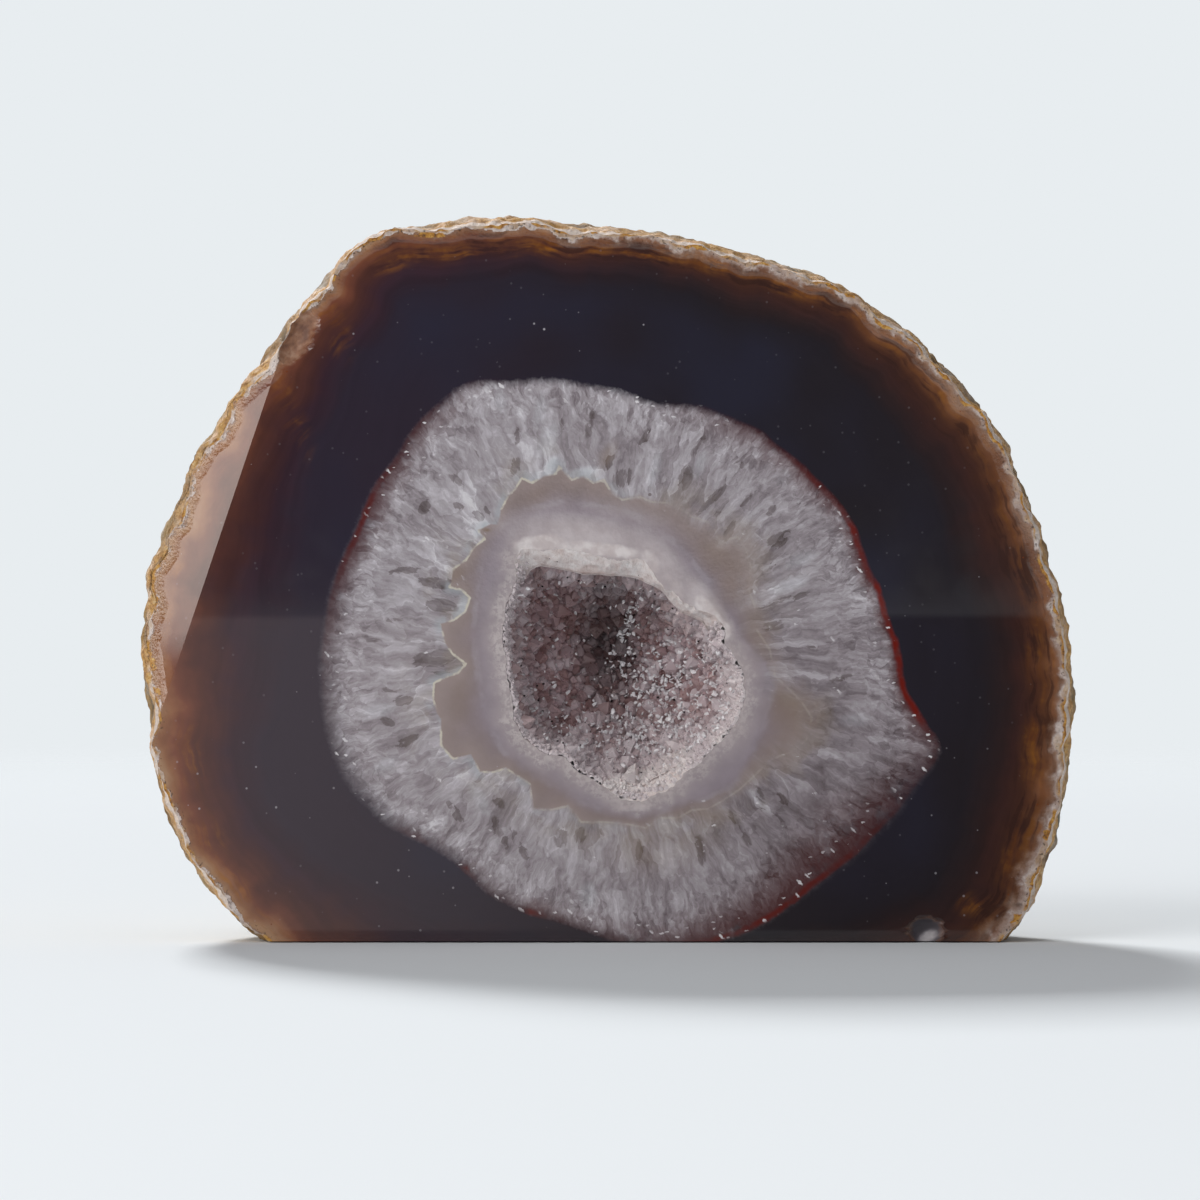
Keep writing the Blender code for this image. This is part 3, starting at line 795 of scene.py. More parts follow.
def comb_and_heart(s, where, ring, n, agate):
    """Inside the agate: the quartz comb, its zigzag of tips, and the chalcedony round the hollow."""
    inq, edge, comb = s.attr("inq"), s.attr("edge"), s.attr("comb")
    intip, chal, lav, lip = s.attr("intip"), s.attr("chal"), s.attr("lav"), s.attr("lip")

    # long crystals: cells drawn out from the agate towards the tips
    around = s.vec(s.channel(ring, 0), s.channel(ring, 1), 0.0)
    bend = s.vmath("SCALE", s.vmath("SUBTRACT", s.noise(where, 3.2, 2, colour=True), (0.5, 0.5, 0.5)), scale=0.085)
    bend2 = s.vmath("SCALE", s.vmath("SUBTRACT", s.noise(where, 15.0, 2, colour=True), (0.5, 0.5, 0.5)), scale=0.015)
    around = s.vmath("ADD", s.vmath("ADD", around, bend), bend2)
    depth = s.add(comb, s.mul(n(9.0), 0.10))

    def stretched(width, length):
        return s.vmath("ADD", s.vmath("MULTIPLY", around, (width, width, width)), s.vec(0.0, 0.0, s.mul(depth, length)))

    red, spread = s.attr("red"), s.attr("redwide")
    inner, outer = s.step(comb, 0.25, 0.75), s.step(comb, 0.60, 0.15)
    small_far, small_hue = s.cells(stretched(46, 11.0), 1.0)
    mid_far, mid_hue = s.cells(stretched(25, 4.8), 1.0)
    big_far, big_hue = s.cells(stretched(13.5, 2.3), 1.0)
    big_edge, _ = s.cells(stretched(13.5, 2.3), 1.0, "DISTANCE_TO_EDGE")
    wisps = s.noise(stretched(20, 2.6), 1.0, 3, 0.55)
    fine = s.noise(stretched(66, 7.5), 1.0, 3, 0.62)
    patch = s.noise(where, 2.4, 2)

    def about(x, middle=0.5):
        return s.math("SUBTRACT", x, middle)

    void = s.attr("void")
    hollow = s.add(void, s.mul(about(s.channel(mid_hue, 1)), 0.55), s.mul(about(s.channel(small_hue, 1)), 0.35), s.mul(about(fine), 0.5))
    void = s.mul(s.step(hollow, 0.30, 0.50), s.step(void, 0.02, 0.25))

    tone = s.add(
        0.55,
        s.mul(about(s.channel(small_hue)), s.add(0.07, s.mul(outer, 0.20))),
        s.mul(about(s.channel(mid_hue)), 0.15),
        s.mul(about(s.channel(big_hue)), s.add(0.04, s.mul(inner, 0.24))),
        s.mul(about(mid_far, 0.45), -0.14),
        s.mul(about(big_far, 0.45), s.mul(inner, 0.22)),
        s.mul(about(fine), s.add(0.42, s.mul(outer, 0.50))),
        s.mul(about(wisps), 0.62),
        s.mul(about(patch), 0.42),
        s.mul(s.step(big_edge, 0.05, 0.0), s.mul(s.step(comb, 0.45, 0.95), s.add(0.02, s.mul(s.attr("tipline"), 0.08)))),
        s.mul(void, -0.25),
        s.mul(s.step(s.math("DIVIDE", inq, spread), 1.3, 0.0), s.step(spread, 30.0, 80.0), -0.30),
        s.mul(s.attr("pale"), 0.30),
        s.attr("level"),
    )
    quartz = s.ramp(tone, [
        (0.02, "#554a4c"), (0.20, "#73696d"), (0.38, "#8b8287"), (0.52, "#9e959a"),
        (0.66, "#b0a9ae"), (0.82, "#c6c0c6"), (1.00, "#e4e1e5"),
    ])
    quartz = s.mix(s.mul(s.attr("pale"), 0.5), quartz, "#b5bcc2")
    quartz = s.mix(s.mul(void, 0.26), quartz, "#6c615d")
    quartz = s.mix(s.attr("stain"), quartz, "#927c66")
    glow = s.mul(s.step(comb, 0.55, 1.0), s.step(s.noise(where, 3.4, 2), 0.42, 0.66), 0.30)
    quartz = s.mix(glow, quartz, "#a3957f")

    # the tips: a thin yellowish line with bluish white behind it, on the left and the top
    crisp = s.attr("tipline")
    broken = s.step(s.noise(where, 8.0, 3), 0.38, 0.58)
    tipline = s.mul(s.step(s.math("ABSOLUTE", s.add(intip, s.mul(n(30.0), 1.8))), 1.7, 0.3), broken, crisp)
    behindtip = s.mul(s.step(intip, -12.0, -1.0), crisp, s.step(s.noise(where, 6.0, 2), 0.42, 0.62))
    quartz = s.mix(s.mul(behindtip, 0.55), quartz, "#b4bac0")

    # chalcedony: grey by the tips, a lavender band, then milky round the hollow
    swing = s.add(chal, s.mul(n(2.6), 0.30), s.mul(n(11.0, 3), 0.07))
    heart = s.ramp(swing, [
        (0.00, "#a3938f"), (0.18, "#998a88"), (0.42, "#948689"), (0.62, "#968a92"), (0.80, "#9f939d"), (0.97, "#aca0a7"),
    ])
    browned = s.mul(s.step(s.noise(where, 2.6, 2), 0.42, 0.7), s.step(lav, 4.0, -14.0), s.attr("brown"))
    heart = s.mix(browned, heart, "#968580")
    lavender = s.ramp(s.add(s.mul(lip, 0.01), s.mul(n(4.0), 0.16), s.mul(n(13.0), 0.04)), [
        (0.00, "#b9adae"), (0.10, "#ada1a5"), (0.22, "#a1969d"), (0.40, "#998d97"), (0.60, "#9c9198"),
    ])
    edge_soft = s.attr("lavsoft")
    far = s.add(lav, s.mul(n(9.0, 3), 9.0))
    heart = s.mix(s.step(far, s.mul(edge_soft, -1.0), edge_soft), heart, lavender)
    pale_line = s.mul(s.step(s.math("ABSOLUTE", s.add(far, 1.0)), 5.0, 1.0), s.step(s.noise(where, 4.0, 2), 0.44, 0.62), 0.28)
    heart = s.mix(pale_line, heart, "#b9b3ba")
    heart = s.gain(heart, s.step(s.noise(where, 5.5, 4, 0.55), 0.3, 0.7, 0.93, 1.07, "LINEAR"))
    heart = s.mix(s.attr("milk"), heart, s.mix(s.step(s.noise(where, 5.0, 3), 0.35, 0.65), "#c6babb", "#d8cecf"))
    bleached = s.step(s.add(s.attr("bleach"), s.mul(n(9.0, 3), 0.55), s.mul(n(2.6), 0.3)), 0.30, 0.75)
    heart = s.mix(bleached, heart, s.mix(s.step(s.noise(where, 7.0, 3), 0.35, 0.65), "#d3c7c6", "#ece4e3"))
    heart = s.mix(s.mul(s.attr("stain"), 0.8), heart, "#8f7a68")
    frill = s.mul(
        s.step(s.add(lip, s.mul(n(12.0, 3), 26.0)), 17.0, 5.0), s.step(s.noise(where, 24.0, 3, 0.6), 0.40, 0.60), s.attr("rimgrain"),
    )
    heart = s.mix(frill, heart, "#cdc4c3")

    soft_tip = s.attr("tipsoft")
    blur = s.add(intip, s.mul(n(7.0, 3), s.mul(soft_tip, 1.6)))
    quartz = s.mix(s.step(blur, s.mul(soft_tip, -1.0), soft_tip), quartz, heart)
    quartz = s.mix(tipline, quartz, "#d9d3c3")

    # where quartz meets agate
    ragged = s.add(inq, s.mul(n(14.0, 3), 6.0), s.mul(n(40.0), 3.0))
    share = s.math("POWER", s.step(ragged, s.mul(edge, -0.22), edge), 0.72)
    colour = s.mix(share, agate, quartz)
    line = s.mul(
        s.step(s.math("ABSOLUTE", s.add(inq, -1.0, s.mul(n(9.0, 3), 5.0))), 5.2, 0.6),
        s.step(red, 0.36, 1.0), s.step(s.noise(where, 5.0, 3), 0.30, 0.60, 0.35, 1.0),
    )
    wash = s.mul(
        s.step(inq, -4.0, 1.0), s.step(s.math("DIVIDE", s.add(inq, s.mul(n(16.0, 3), 16.0)), spread), 1.0, 0.05),
        s.step(s.noise(where, 3.4, 4, 0.65), 0.26, 0.52), red, 0.86,
    )
    colour = s.mix(wash, colour, "#592a28")
    colour = s.mix(line, colour, s.mix(s.step(red, 0.55, 1.0), "#451412", "#741b11"))

    # painted glints along the crystal roots, and pin holes in the polish
    skew = s.vmath("ADD", where, s.vmath("SCALE", s.noise(where, 30.0, 1, colour=True), scale=0.035))
    slant = s.vmath("MULTIPLY", skew, (1.0, 1.0, 2.4))
    turned = s.vmath("MULTIPLY", s.vec(
        s.math("SUBTRACT", s.channel(skew, 0), s.channel(skew, 2)), 0.0, s.add(s.channel(skew, 0), s.channel(skew, 2)),
    ), (0.55, 1.0, 1.5))
    painted_sparkle = s.most(s.specks(slant, 7.5, 0.22, 0.6), s.specks(turned, 7.0, 0.22, 0.6))
    zone = s.mul(s.step(inq, -3.0, 1.0), s.step(inq, 38.0, 4.0), s.step(s.noise(where, 4.2, 2), 0.38, 0.52))
    zone = s.most(zone, s.mul(s.step(inq, 20.0, 60.0), s.step(intip, 16.0, 2.0), s.step(s.noise(where, 4.6, 2), 0.57, 0.70), 0.9))
    painted_sparkle = s.mul(painted_sparkle, zone)
    # painted glints: near-white specks mixed into the colour
    colour = s.mix(s.mul(painted_sparkle, 0.92), colour, "#ece9ec")
    pins = s.mul(s.specks(where, 3.1, 0.06, 0.35), s.step(inq, 20.0, 40.0))
    colour = s.mix(s.mul(pins, 0.6), colour, "#4a2a22")
    return colour, s.mul(painted_sparkle, 0.2)


def rough_skin():
    """The rind outside: ochre and brown skin over white chalcedony, lumpy and pitted."""
    s = Shade("rough_rind")
    where = s.vmath("SCALE", s.where(), scale=1000.0)  # millimetres
    relief, front = s.attr("relief"), s.attr("front")
    hollow = s.step(relief, 0.15, -0.55)
    proud = s.step(relief, 0.15, 0.8)
    base = s.ramp(s.noise(where, 0.085, 4, 0.6), [
        (0.28, "#6a5138"), (0.42, "#8e6d42"), (0.54, "#a98a5c"), (0.66, "#b39b78"), (0.80, "#98806a"),
    ])
    ochre = s.ramp(s.noise(where, 0.9, 5, 0.65), [(0.3, "#7a4d1a"), (0.48, "#b5802e"), (0.62, "#cc9c48"), (0.8, "#d9bd84")])
    colour = s.mix(s.mul(s.step(s.noise(where, 0.13, 3, 0.6), 0.46, 0.64), 0.62), base, ochre)
    grey = s.ramp(s.noise(where, 0.7, 5, 0.6), [(0.3, "#7d7468"), (0.55, "#a79e92"), (0.75, "#c6bfb6")])
    colour = s.mix(s.mul(s.step(s.noise(s.vmath("ADD", where, (31.0, 7.0, 5.0)), 0.10, 4, 0.6), 0.52, 0.66), 0.85), colour, grey)
    green = s.step(s.noise(s.vmath("ADD", where, (3.0, 57.0, 15.0)), 0.075, 3, 0.6), 0.56, 0.70)
    colour = s.mix(s.mul(green, 0.55), colour, "#77745c")
    rust = s.step(s.noise(s.vmath("ADD", where, (13.0, 17.0, 45.0)), 0.34, 4, 0.62), 0.60, 0.70)
    colour = s.mix(s.mul(rust, 0.7), colour, "#8a4a1c")
    colour = s.mix(s.mul(proud, s.step(s.noise(where, 0.5, 3), 0.42, 0.66), 0.75), colour, "#cdc2b2")
    colour = s.mix(s.mul(hollow, 0.78), colour, "#3d2a1b")
    fleck = s.specks(where, 0.75, 0.20, 0.35)
    colour = s.mix(s.mul(fleck, s.step(front, 0.7, 0.1), 0.75), colour, "#2c2018")
    pale = s.specks(s.vmath("ADD", where, (5.0, 9.0, 2.0)), 0.9, 0.16, 0.3)
    colour = s.mix(s.mul(pale, 0.6), colour, "#e2dbd0")
    # near the front the white chalcedony shows through the thin ochre skin
    ragged = s.add(front, s.mul(s.math("SUBTRACT", s.noise(where, 0.22, 4, 0.6), 0.5), 1.6))
    bare = s.mul(s.step(ragged, 0.35, 0.95), s.step(s.add(s.noise(where, 0.40, 4, 0.6), s.mul(front, 0.25)), 0.44, 0.62))
    colour = s.mix(bare, colour, s.ramp(s.noise(where, 0.8, 3, 0.6), [(0.3, "#c79a78"), (0.5, "#e0bd9a"), (0.7, "#ecd6c2")]))
    stained = s.mul(s.step(ragged, 0.40, 0.95), s.step(s.noise(s.vmath("ADD", where, (9.0, 0.0, 4.0)), 0.26, 3), 0.34, 0.50))
    gold = s.ramp(s.noise(where, 1.4, 3, 0.6), [(0.28, "#7d5428"), (0.42, "#b3803c"), (0.56, "#d3a252"), (0.72, "#e4ca98")])
    colour = s.mix(s.mul(stained, 0.8), colour, gold)
    edging = s.mul(s.step(s.add(front, s.mul(s.math("SUBTRACT", s.noise(where, 1.2, 3), 0.5), 0.05)), 0.965, 0.995), 0.8)
    colour = s.mix(edging, colour, "#ece0d8")
    fine = s.add(s.noise(where, 1.7, 6, 0.66), s.mul(s.noise(where, 6.5, 3, 0.6), 0.35), s.mul(fleck, -0.25))
    s.set(
        Base_Color=s.gain(colour, s.step(s.noise(where, 3.2, 3), 0.3, 0.7, 0.84, 1.14, "LINEAR")),
        Roughness=s.step(s.noise(where, 0.8, 3), 0.3, 0.7, 0.92, 0.68), IOR=1.5, Metallic=0.0,
    )
    s.bump(fine, 0.00042, 0.75)
    return s.mat


def sawn():
    """The sawn underside: the same bands, cut and only rubbed smooth."""
    s = Shade("sawn_base")
    where = s.vmath("SCALE", s.where(), scale=1000.0)
    rim, comb = s.attr("rim"), s.attr("quartz")
    n = s.math("SUBTRACT", s.noise(where, 0.16, 4, 0.6), 0.5)
    d = s.add(rim, s.mul(n, 5.0))
    colour = s.ramp(s.math("DIVIDE", d, 22.0), [
        (0.00, "#cfc4ba"), (0.035, "#c9bcb0"), (0.055, "#9a7a5c"), (0.12, "#7a5238"), (0.25, "#5d3a2a"),
        (0.42, "#4a3230"), (0.62, "#43363c"), (0.85, "#3c3540"),
    ])
    streaks = s.noise(s.vmath("MULTIPLY", s.vec(s.mul(s.channel(where, 0), 0.05), s.mul(s.channel(where, 1), 0.05), s.mul(rim, 0.9)), (1, 1, 1)), 1.0, 4, 0.6)
    colour = s.gain(colour, s.step(streaks, 0.3, 0.7, 0.85, 1.2, "LINEAR"))
    pale = s.ramp(s.noise(s.vmath("MULTIPLY", where, (1.0, 0.25, 1.0)), 1.1, 4, 0.6), [(0.3, "#6f6769"), (0.5, "#8d868b"), (0.7, "#aaa5aa")])
    share = s.step(s.add(comb, s.mul(n, 1.6)), -0.6, 1.2)
    colour = s.mix(share, colour, pale)
    colour = s.mix(s.mul(s.step(s.math("ABSOLUTE", comb), 1.0, 0.2), 0.8), colour, "#5a1c14")
    saw = s.noise(s.vmath("MULTIPLY", where, (0.12, 3.4, 1.0)), 1.0, 3, 0.6)
    s.set(Base_Color=colour, Roughness=s.step(saw, 0.3, 0.7, 0.34, 0.5), IOR=1.54, Metallic=0.0)
    s.bump(saw, 0.00005, 0.5)
    return s.mat


def crust_rock():
    """Chalky white crust at the mouth of the hollow."""
    s = Shade("vug_crust")
    where = s.vmath("SCALE", s.where(), scale=1000.0)
    white = s.attr("white")
    chalk = s.ramp(s.noise(where, 0.9, 5, 0.62), [(0.28, "#d0bfbb"), (0.43, "#ebdfdc"), (0.58, "#f8f0ee"), (0.8, "#fdf9f8")])
    glass = s.ramp(s.noise(where, 1.3, 4, 0.6), [(0.3, "#6d6166"), (0.5, "#8d8287"), (0.7, "#b5acb0")])
    colour = s.mix(white, glass, chalk)
    pink = s.mul(s.step(s.noise(where, 0.35, 3), 0.48, 0.64), 0.5)
    colour = s.mix(s.mul(pink, 0.6), colour, "#c9aca2")
    colour = s.mix(s.mul(s.specks(where, 0.9, 0.14, 0.25), 0.8), colour, "#4b2a20")
    s.set(Base_Color=colour, Roughness=s.step(white, 0.0, 1.0, 0.30, 0.62, "LINEAR"), IOR=1.5, Metallic=0.0)
    s.bump(s.add(s.noise(where, 3.2, 5, 0.65), s.mul(s.noise(where, 9.0, 2), 0.3)), 0.00028, 0.8)
    return s.mat


def vug_rock():
    """The wall that the crystals stand on."""
    s = Shade("vug_wall")
    where = s.vmath("SCALE", s.where(), scale=1000.0)
    colour = s.ramp(s.noise(where, 0.5, 5, 0.6), [(0.3, "#a58f8d"), (0.5, "#c2adab"), (0.7, "#dccfce")])
    s.set(Base_Color=colour, Roughness=0.35, IOR=1.54, Metallic=0.0)
    s.bump(s.noise(where, 1.8, 4, 0.6), 0.0004, 0.8)
    return s.mat


def druse_glass():
    """Quartz points: clear to smoky, a little milky; paler with painted light towards the lower right and the throat of
    the hollow, darker with painted shadow under the top lip, and white with a painted highlight on parts of the lip.
    """
    s = Shade("druse_quartz")
    where = s.vmath("SCALE", s.where(), scale=1000.0)
    tint, light = s.attr("tint"), s.attr("light")
    smoky = s.ramp(s.add(s.mul(tint, 0.55), s.mul(s.noise(where, 0.22, 3), 0.55), -0.06), [
        (0.05, "#966b66"), (0.30, "#b69291"), (0.50, "#caadb0"), (0.70, "#ddc9cd"), (0.95, "#f1e7ea"),
    ])
    # painted light: the light value pales the crystals, mostly as painted light, partly as random tone and the pale
    # grains
    colour = s.mix(s.mul(s.step(light, 0.0, 1.0), 0.85), smoky, "#eee3e6")
    # painted shadow: dark crystals under the top lip and deep in the hollow
    colour = s.mix(s.mul(s.attr("painted_shadow"), 0.62), colour, "#40302f")
    # white on the lip: partly the crystals' own white, partly a painted highlight
    colour = s.mix(s.attr("snow_and_highlight"), colour, "#fff7f5")
    s.set(
        Base_Color=colour, Roughness=s.step(s.noise(where, 0.9, 2), 0.35, 0.7, 0.22, 0.42, "LINEAR"),
        IOR=1.54, Metallic=0.0, Transmission_Weight=0.2,
    )
    return s.mat


def splinters():
    """Tiny white splinters of quartz: painted glints that stand for crystal facets catching the light."""
    s = Shade("painted_glint_splinters")
    where = s.vmath("SCALE", s.where(), scale=1000.0)
    s.set(
        Base_Color=s.ramp(s.noise(where, 1.2, 2), [(0.3, "#f3eff1"), (0.6, "#fffdff")]),
        Roughness=s.step(s.noise(where, 4.0, 2), 0.3, 0.7, 0.16, 0.34, "LINEAR"), IOR=1.54, Metallic=0.0,
    )
    return s.mat


def iron():
    """Tiny grains of iron oxide on the crystals."""
    s = Shade("iron_grains")
    where = s.vmath("SCALE", s.where(), scale=1000.0)
    s.set(
        Base_Color=s.ramp(s.noise(where, 0.8, 2), [(0.35, "#120d0e"), (0.65, "#2c1a16")]),
        Roughness=s.step(s.noise(where, 4.0, 2), 0.3, 0.7, 0.35, 0.6, "LINEAR"), Metallic=0.0,
    )
    return s.mat


# ------------------------------------------------------------ building the stone
def grow_rind():
    verts, faces, relief, lat = rind_mesh()
    front = verts[:COLUMNS].copy()
    verts = ground(verts)
    verts, faces, relief, lat = cut_at_base(verts, faces, relief, lat)
    a = np.arctan2(verts[:, 2] - HZ, verts[:, 0] - HX)
    far = (math.pi / 2 - lat) / (math.pi / 2 - lat.min())
    uv = 0.5 + 0.495 * np.stack([np.cos(a), np.sin(a)], 1) * far[:, None]
    make_piece(
        "rind", verts, faces, rough_skin(),
        {"relief": relief / 0.001, "front": 1 - smooth(verts[:, 1] - FACE_Y, 0.0006, 0.0110)},
        uv, 180,
    )
    return verts, front


def face_outline(front):
    """The sawn face's natural edge in sheet units, all the way round."""
    return np.stack([front[:, 0] / UNIT + AXIS_U, BASE_V - front[:, 2] / UNIT], 1)


def mouth_line(count=480):
    a = 2 * math.pi * np.arange(count) / count
    r = radius_of(MOUTH, VUG_HEART)(a)
    x, z = at(*VUG_HEART)
    p = np.stack([x + r * np.cos(a), np.full(count, FACE_Y), z + r * np.sin(a)], 1)
    r = r + 0.00022 * swirl(p, 420, 12) + 0.00022 * swirl(p, 1000, 13) + 0.00014 * swirl(p, 2300, 14)
    return a, r


def face_mesh(outline):
    """Triangles of the polished face: (points, band faces, comb faces), in sheet units."""
    above = outline[:, 1] < BASE_V
    n = len(outline)
    loop = []
    for i in range(n):
        j = (i + 1) % n
        if above[i]:
            loop.append(outline[i])
        if above[i] != above[j]:
            t = (BASE_V - outline[i, 1]) / (outline[j, 1] - outline[i, 1])
            q = outline[i] + t * (outline[j] - outline[i])
            loop.append(np.array([q[0], BASE_V]))
    loop = np.array(loop)
    on_base = np.where(np.abs(loop[:, 1] - BASE_V) < 1e-9)[0]
    k = on_base[0] if (on_base[0] + 1) % len(loop) == on_base[1] else on_base[1]
    loop = np.roll(loop, -((k + 1) % len(loop)), 0)  # starts and ends on the base line
    first, last = loop[0, 0], loop[-1, 0]
    count = int(abs(first - last) / 3)
    bottom = np.stack([np.linspace(last, first, count + 1)[1:-1], np.full(count - 1, BASE_V)], 1)
    loop = np.concatenate([loop, bottom])

    a, r = mouth_line()
    mouth = np.stack([VUG_HEART[0] + r * np.cos(a) / UNIT, VUG_HEART[1] - r * np.sin(a) / UNIT], 1)
    comb_edge = rounded(QUARTZ, 3)
    away = comb_edge - (628, 665)
    comb_edge = comb_edge + away / np.linalg.norm(away, axis=1)[:, None] * 26

    (ua, va), (ub, vb) = LEFT_FLAT
    slope = np.array([ub - ua, vb - va], float)
    crease = np.array([ua, va]) + slope * np.linspace(-0.35, 1.6, 220)[:, None]

    lines = [rounded(QUARTZ, 3), rounded(LAVENDER, 3)]
    tips = np.array(TIPS, float)
    lines.append(np.concatenate([tips + (np.roll(tips, -1, 0) - tips) * f for f in (0, 0.25, 0.5, 0.75)], 1).reshape(-1, 2))

    spots = []
    for j, v in enumerate(np.arange(205, 945, 2.6)):
        u = np.arange(135, 1080, 3.0) + 1.5 * (j % 2)
        spots.append(np.stack([u, np.full(len(u), v)], 1))
    spots = np.concatenate(spots)
    close = np.hypot(spots[:, 0] - 620, spots[:, 1] - 650) < 330
    sparse = (np.arange(len(spots)) % 2 == 0) | close
    spots = spots[sparse]
    keep = within(spots, loop) & ~within(spots, mouth)
    spots = spots[keep]
    for line in [loop, mouth, comb_edge, crease, *lines]:
        spots = spots[gap_to(spots, line) > 1.1]

    points, edges, faces = [], [], []

    def lay(line, closed=True, as_face=False):
        start = sum(len(p) for p in points)
        line = anticlockwise(line) if as_face else line
        points.append(line)
        ids = list(range(start, start + len(line)))
        if as_face:
            faces.append(ids)
        edges.extend(zip(ids, ids[1:] + ids[:1] if closed else ids[1:]))

    lay(loop, as_face=True)
    lay(mouth, as_face=True)
    lay(comb_edge, as_face=True)
    lay(crease, closed=False)
    for line in lines:
        lay(line)
    points.append(spots)
    flat = np.concatenate(points)
    made = delaunay_2d_cdt([Vector(p) for p in flat.tolist()], edges, faces, 0, 1e-5)
    p = np.array([tuple(v) for v in made[0]])
    tris, source = made[2], made[5]
    band, comb = [], []
    for f, owners in zip(tris, source):
        if 0 in owners and 1 not in owners:
            (comb if 2 in owners else band).append(f)
    return p, band, comb, loop, mouth


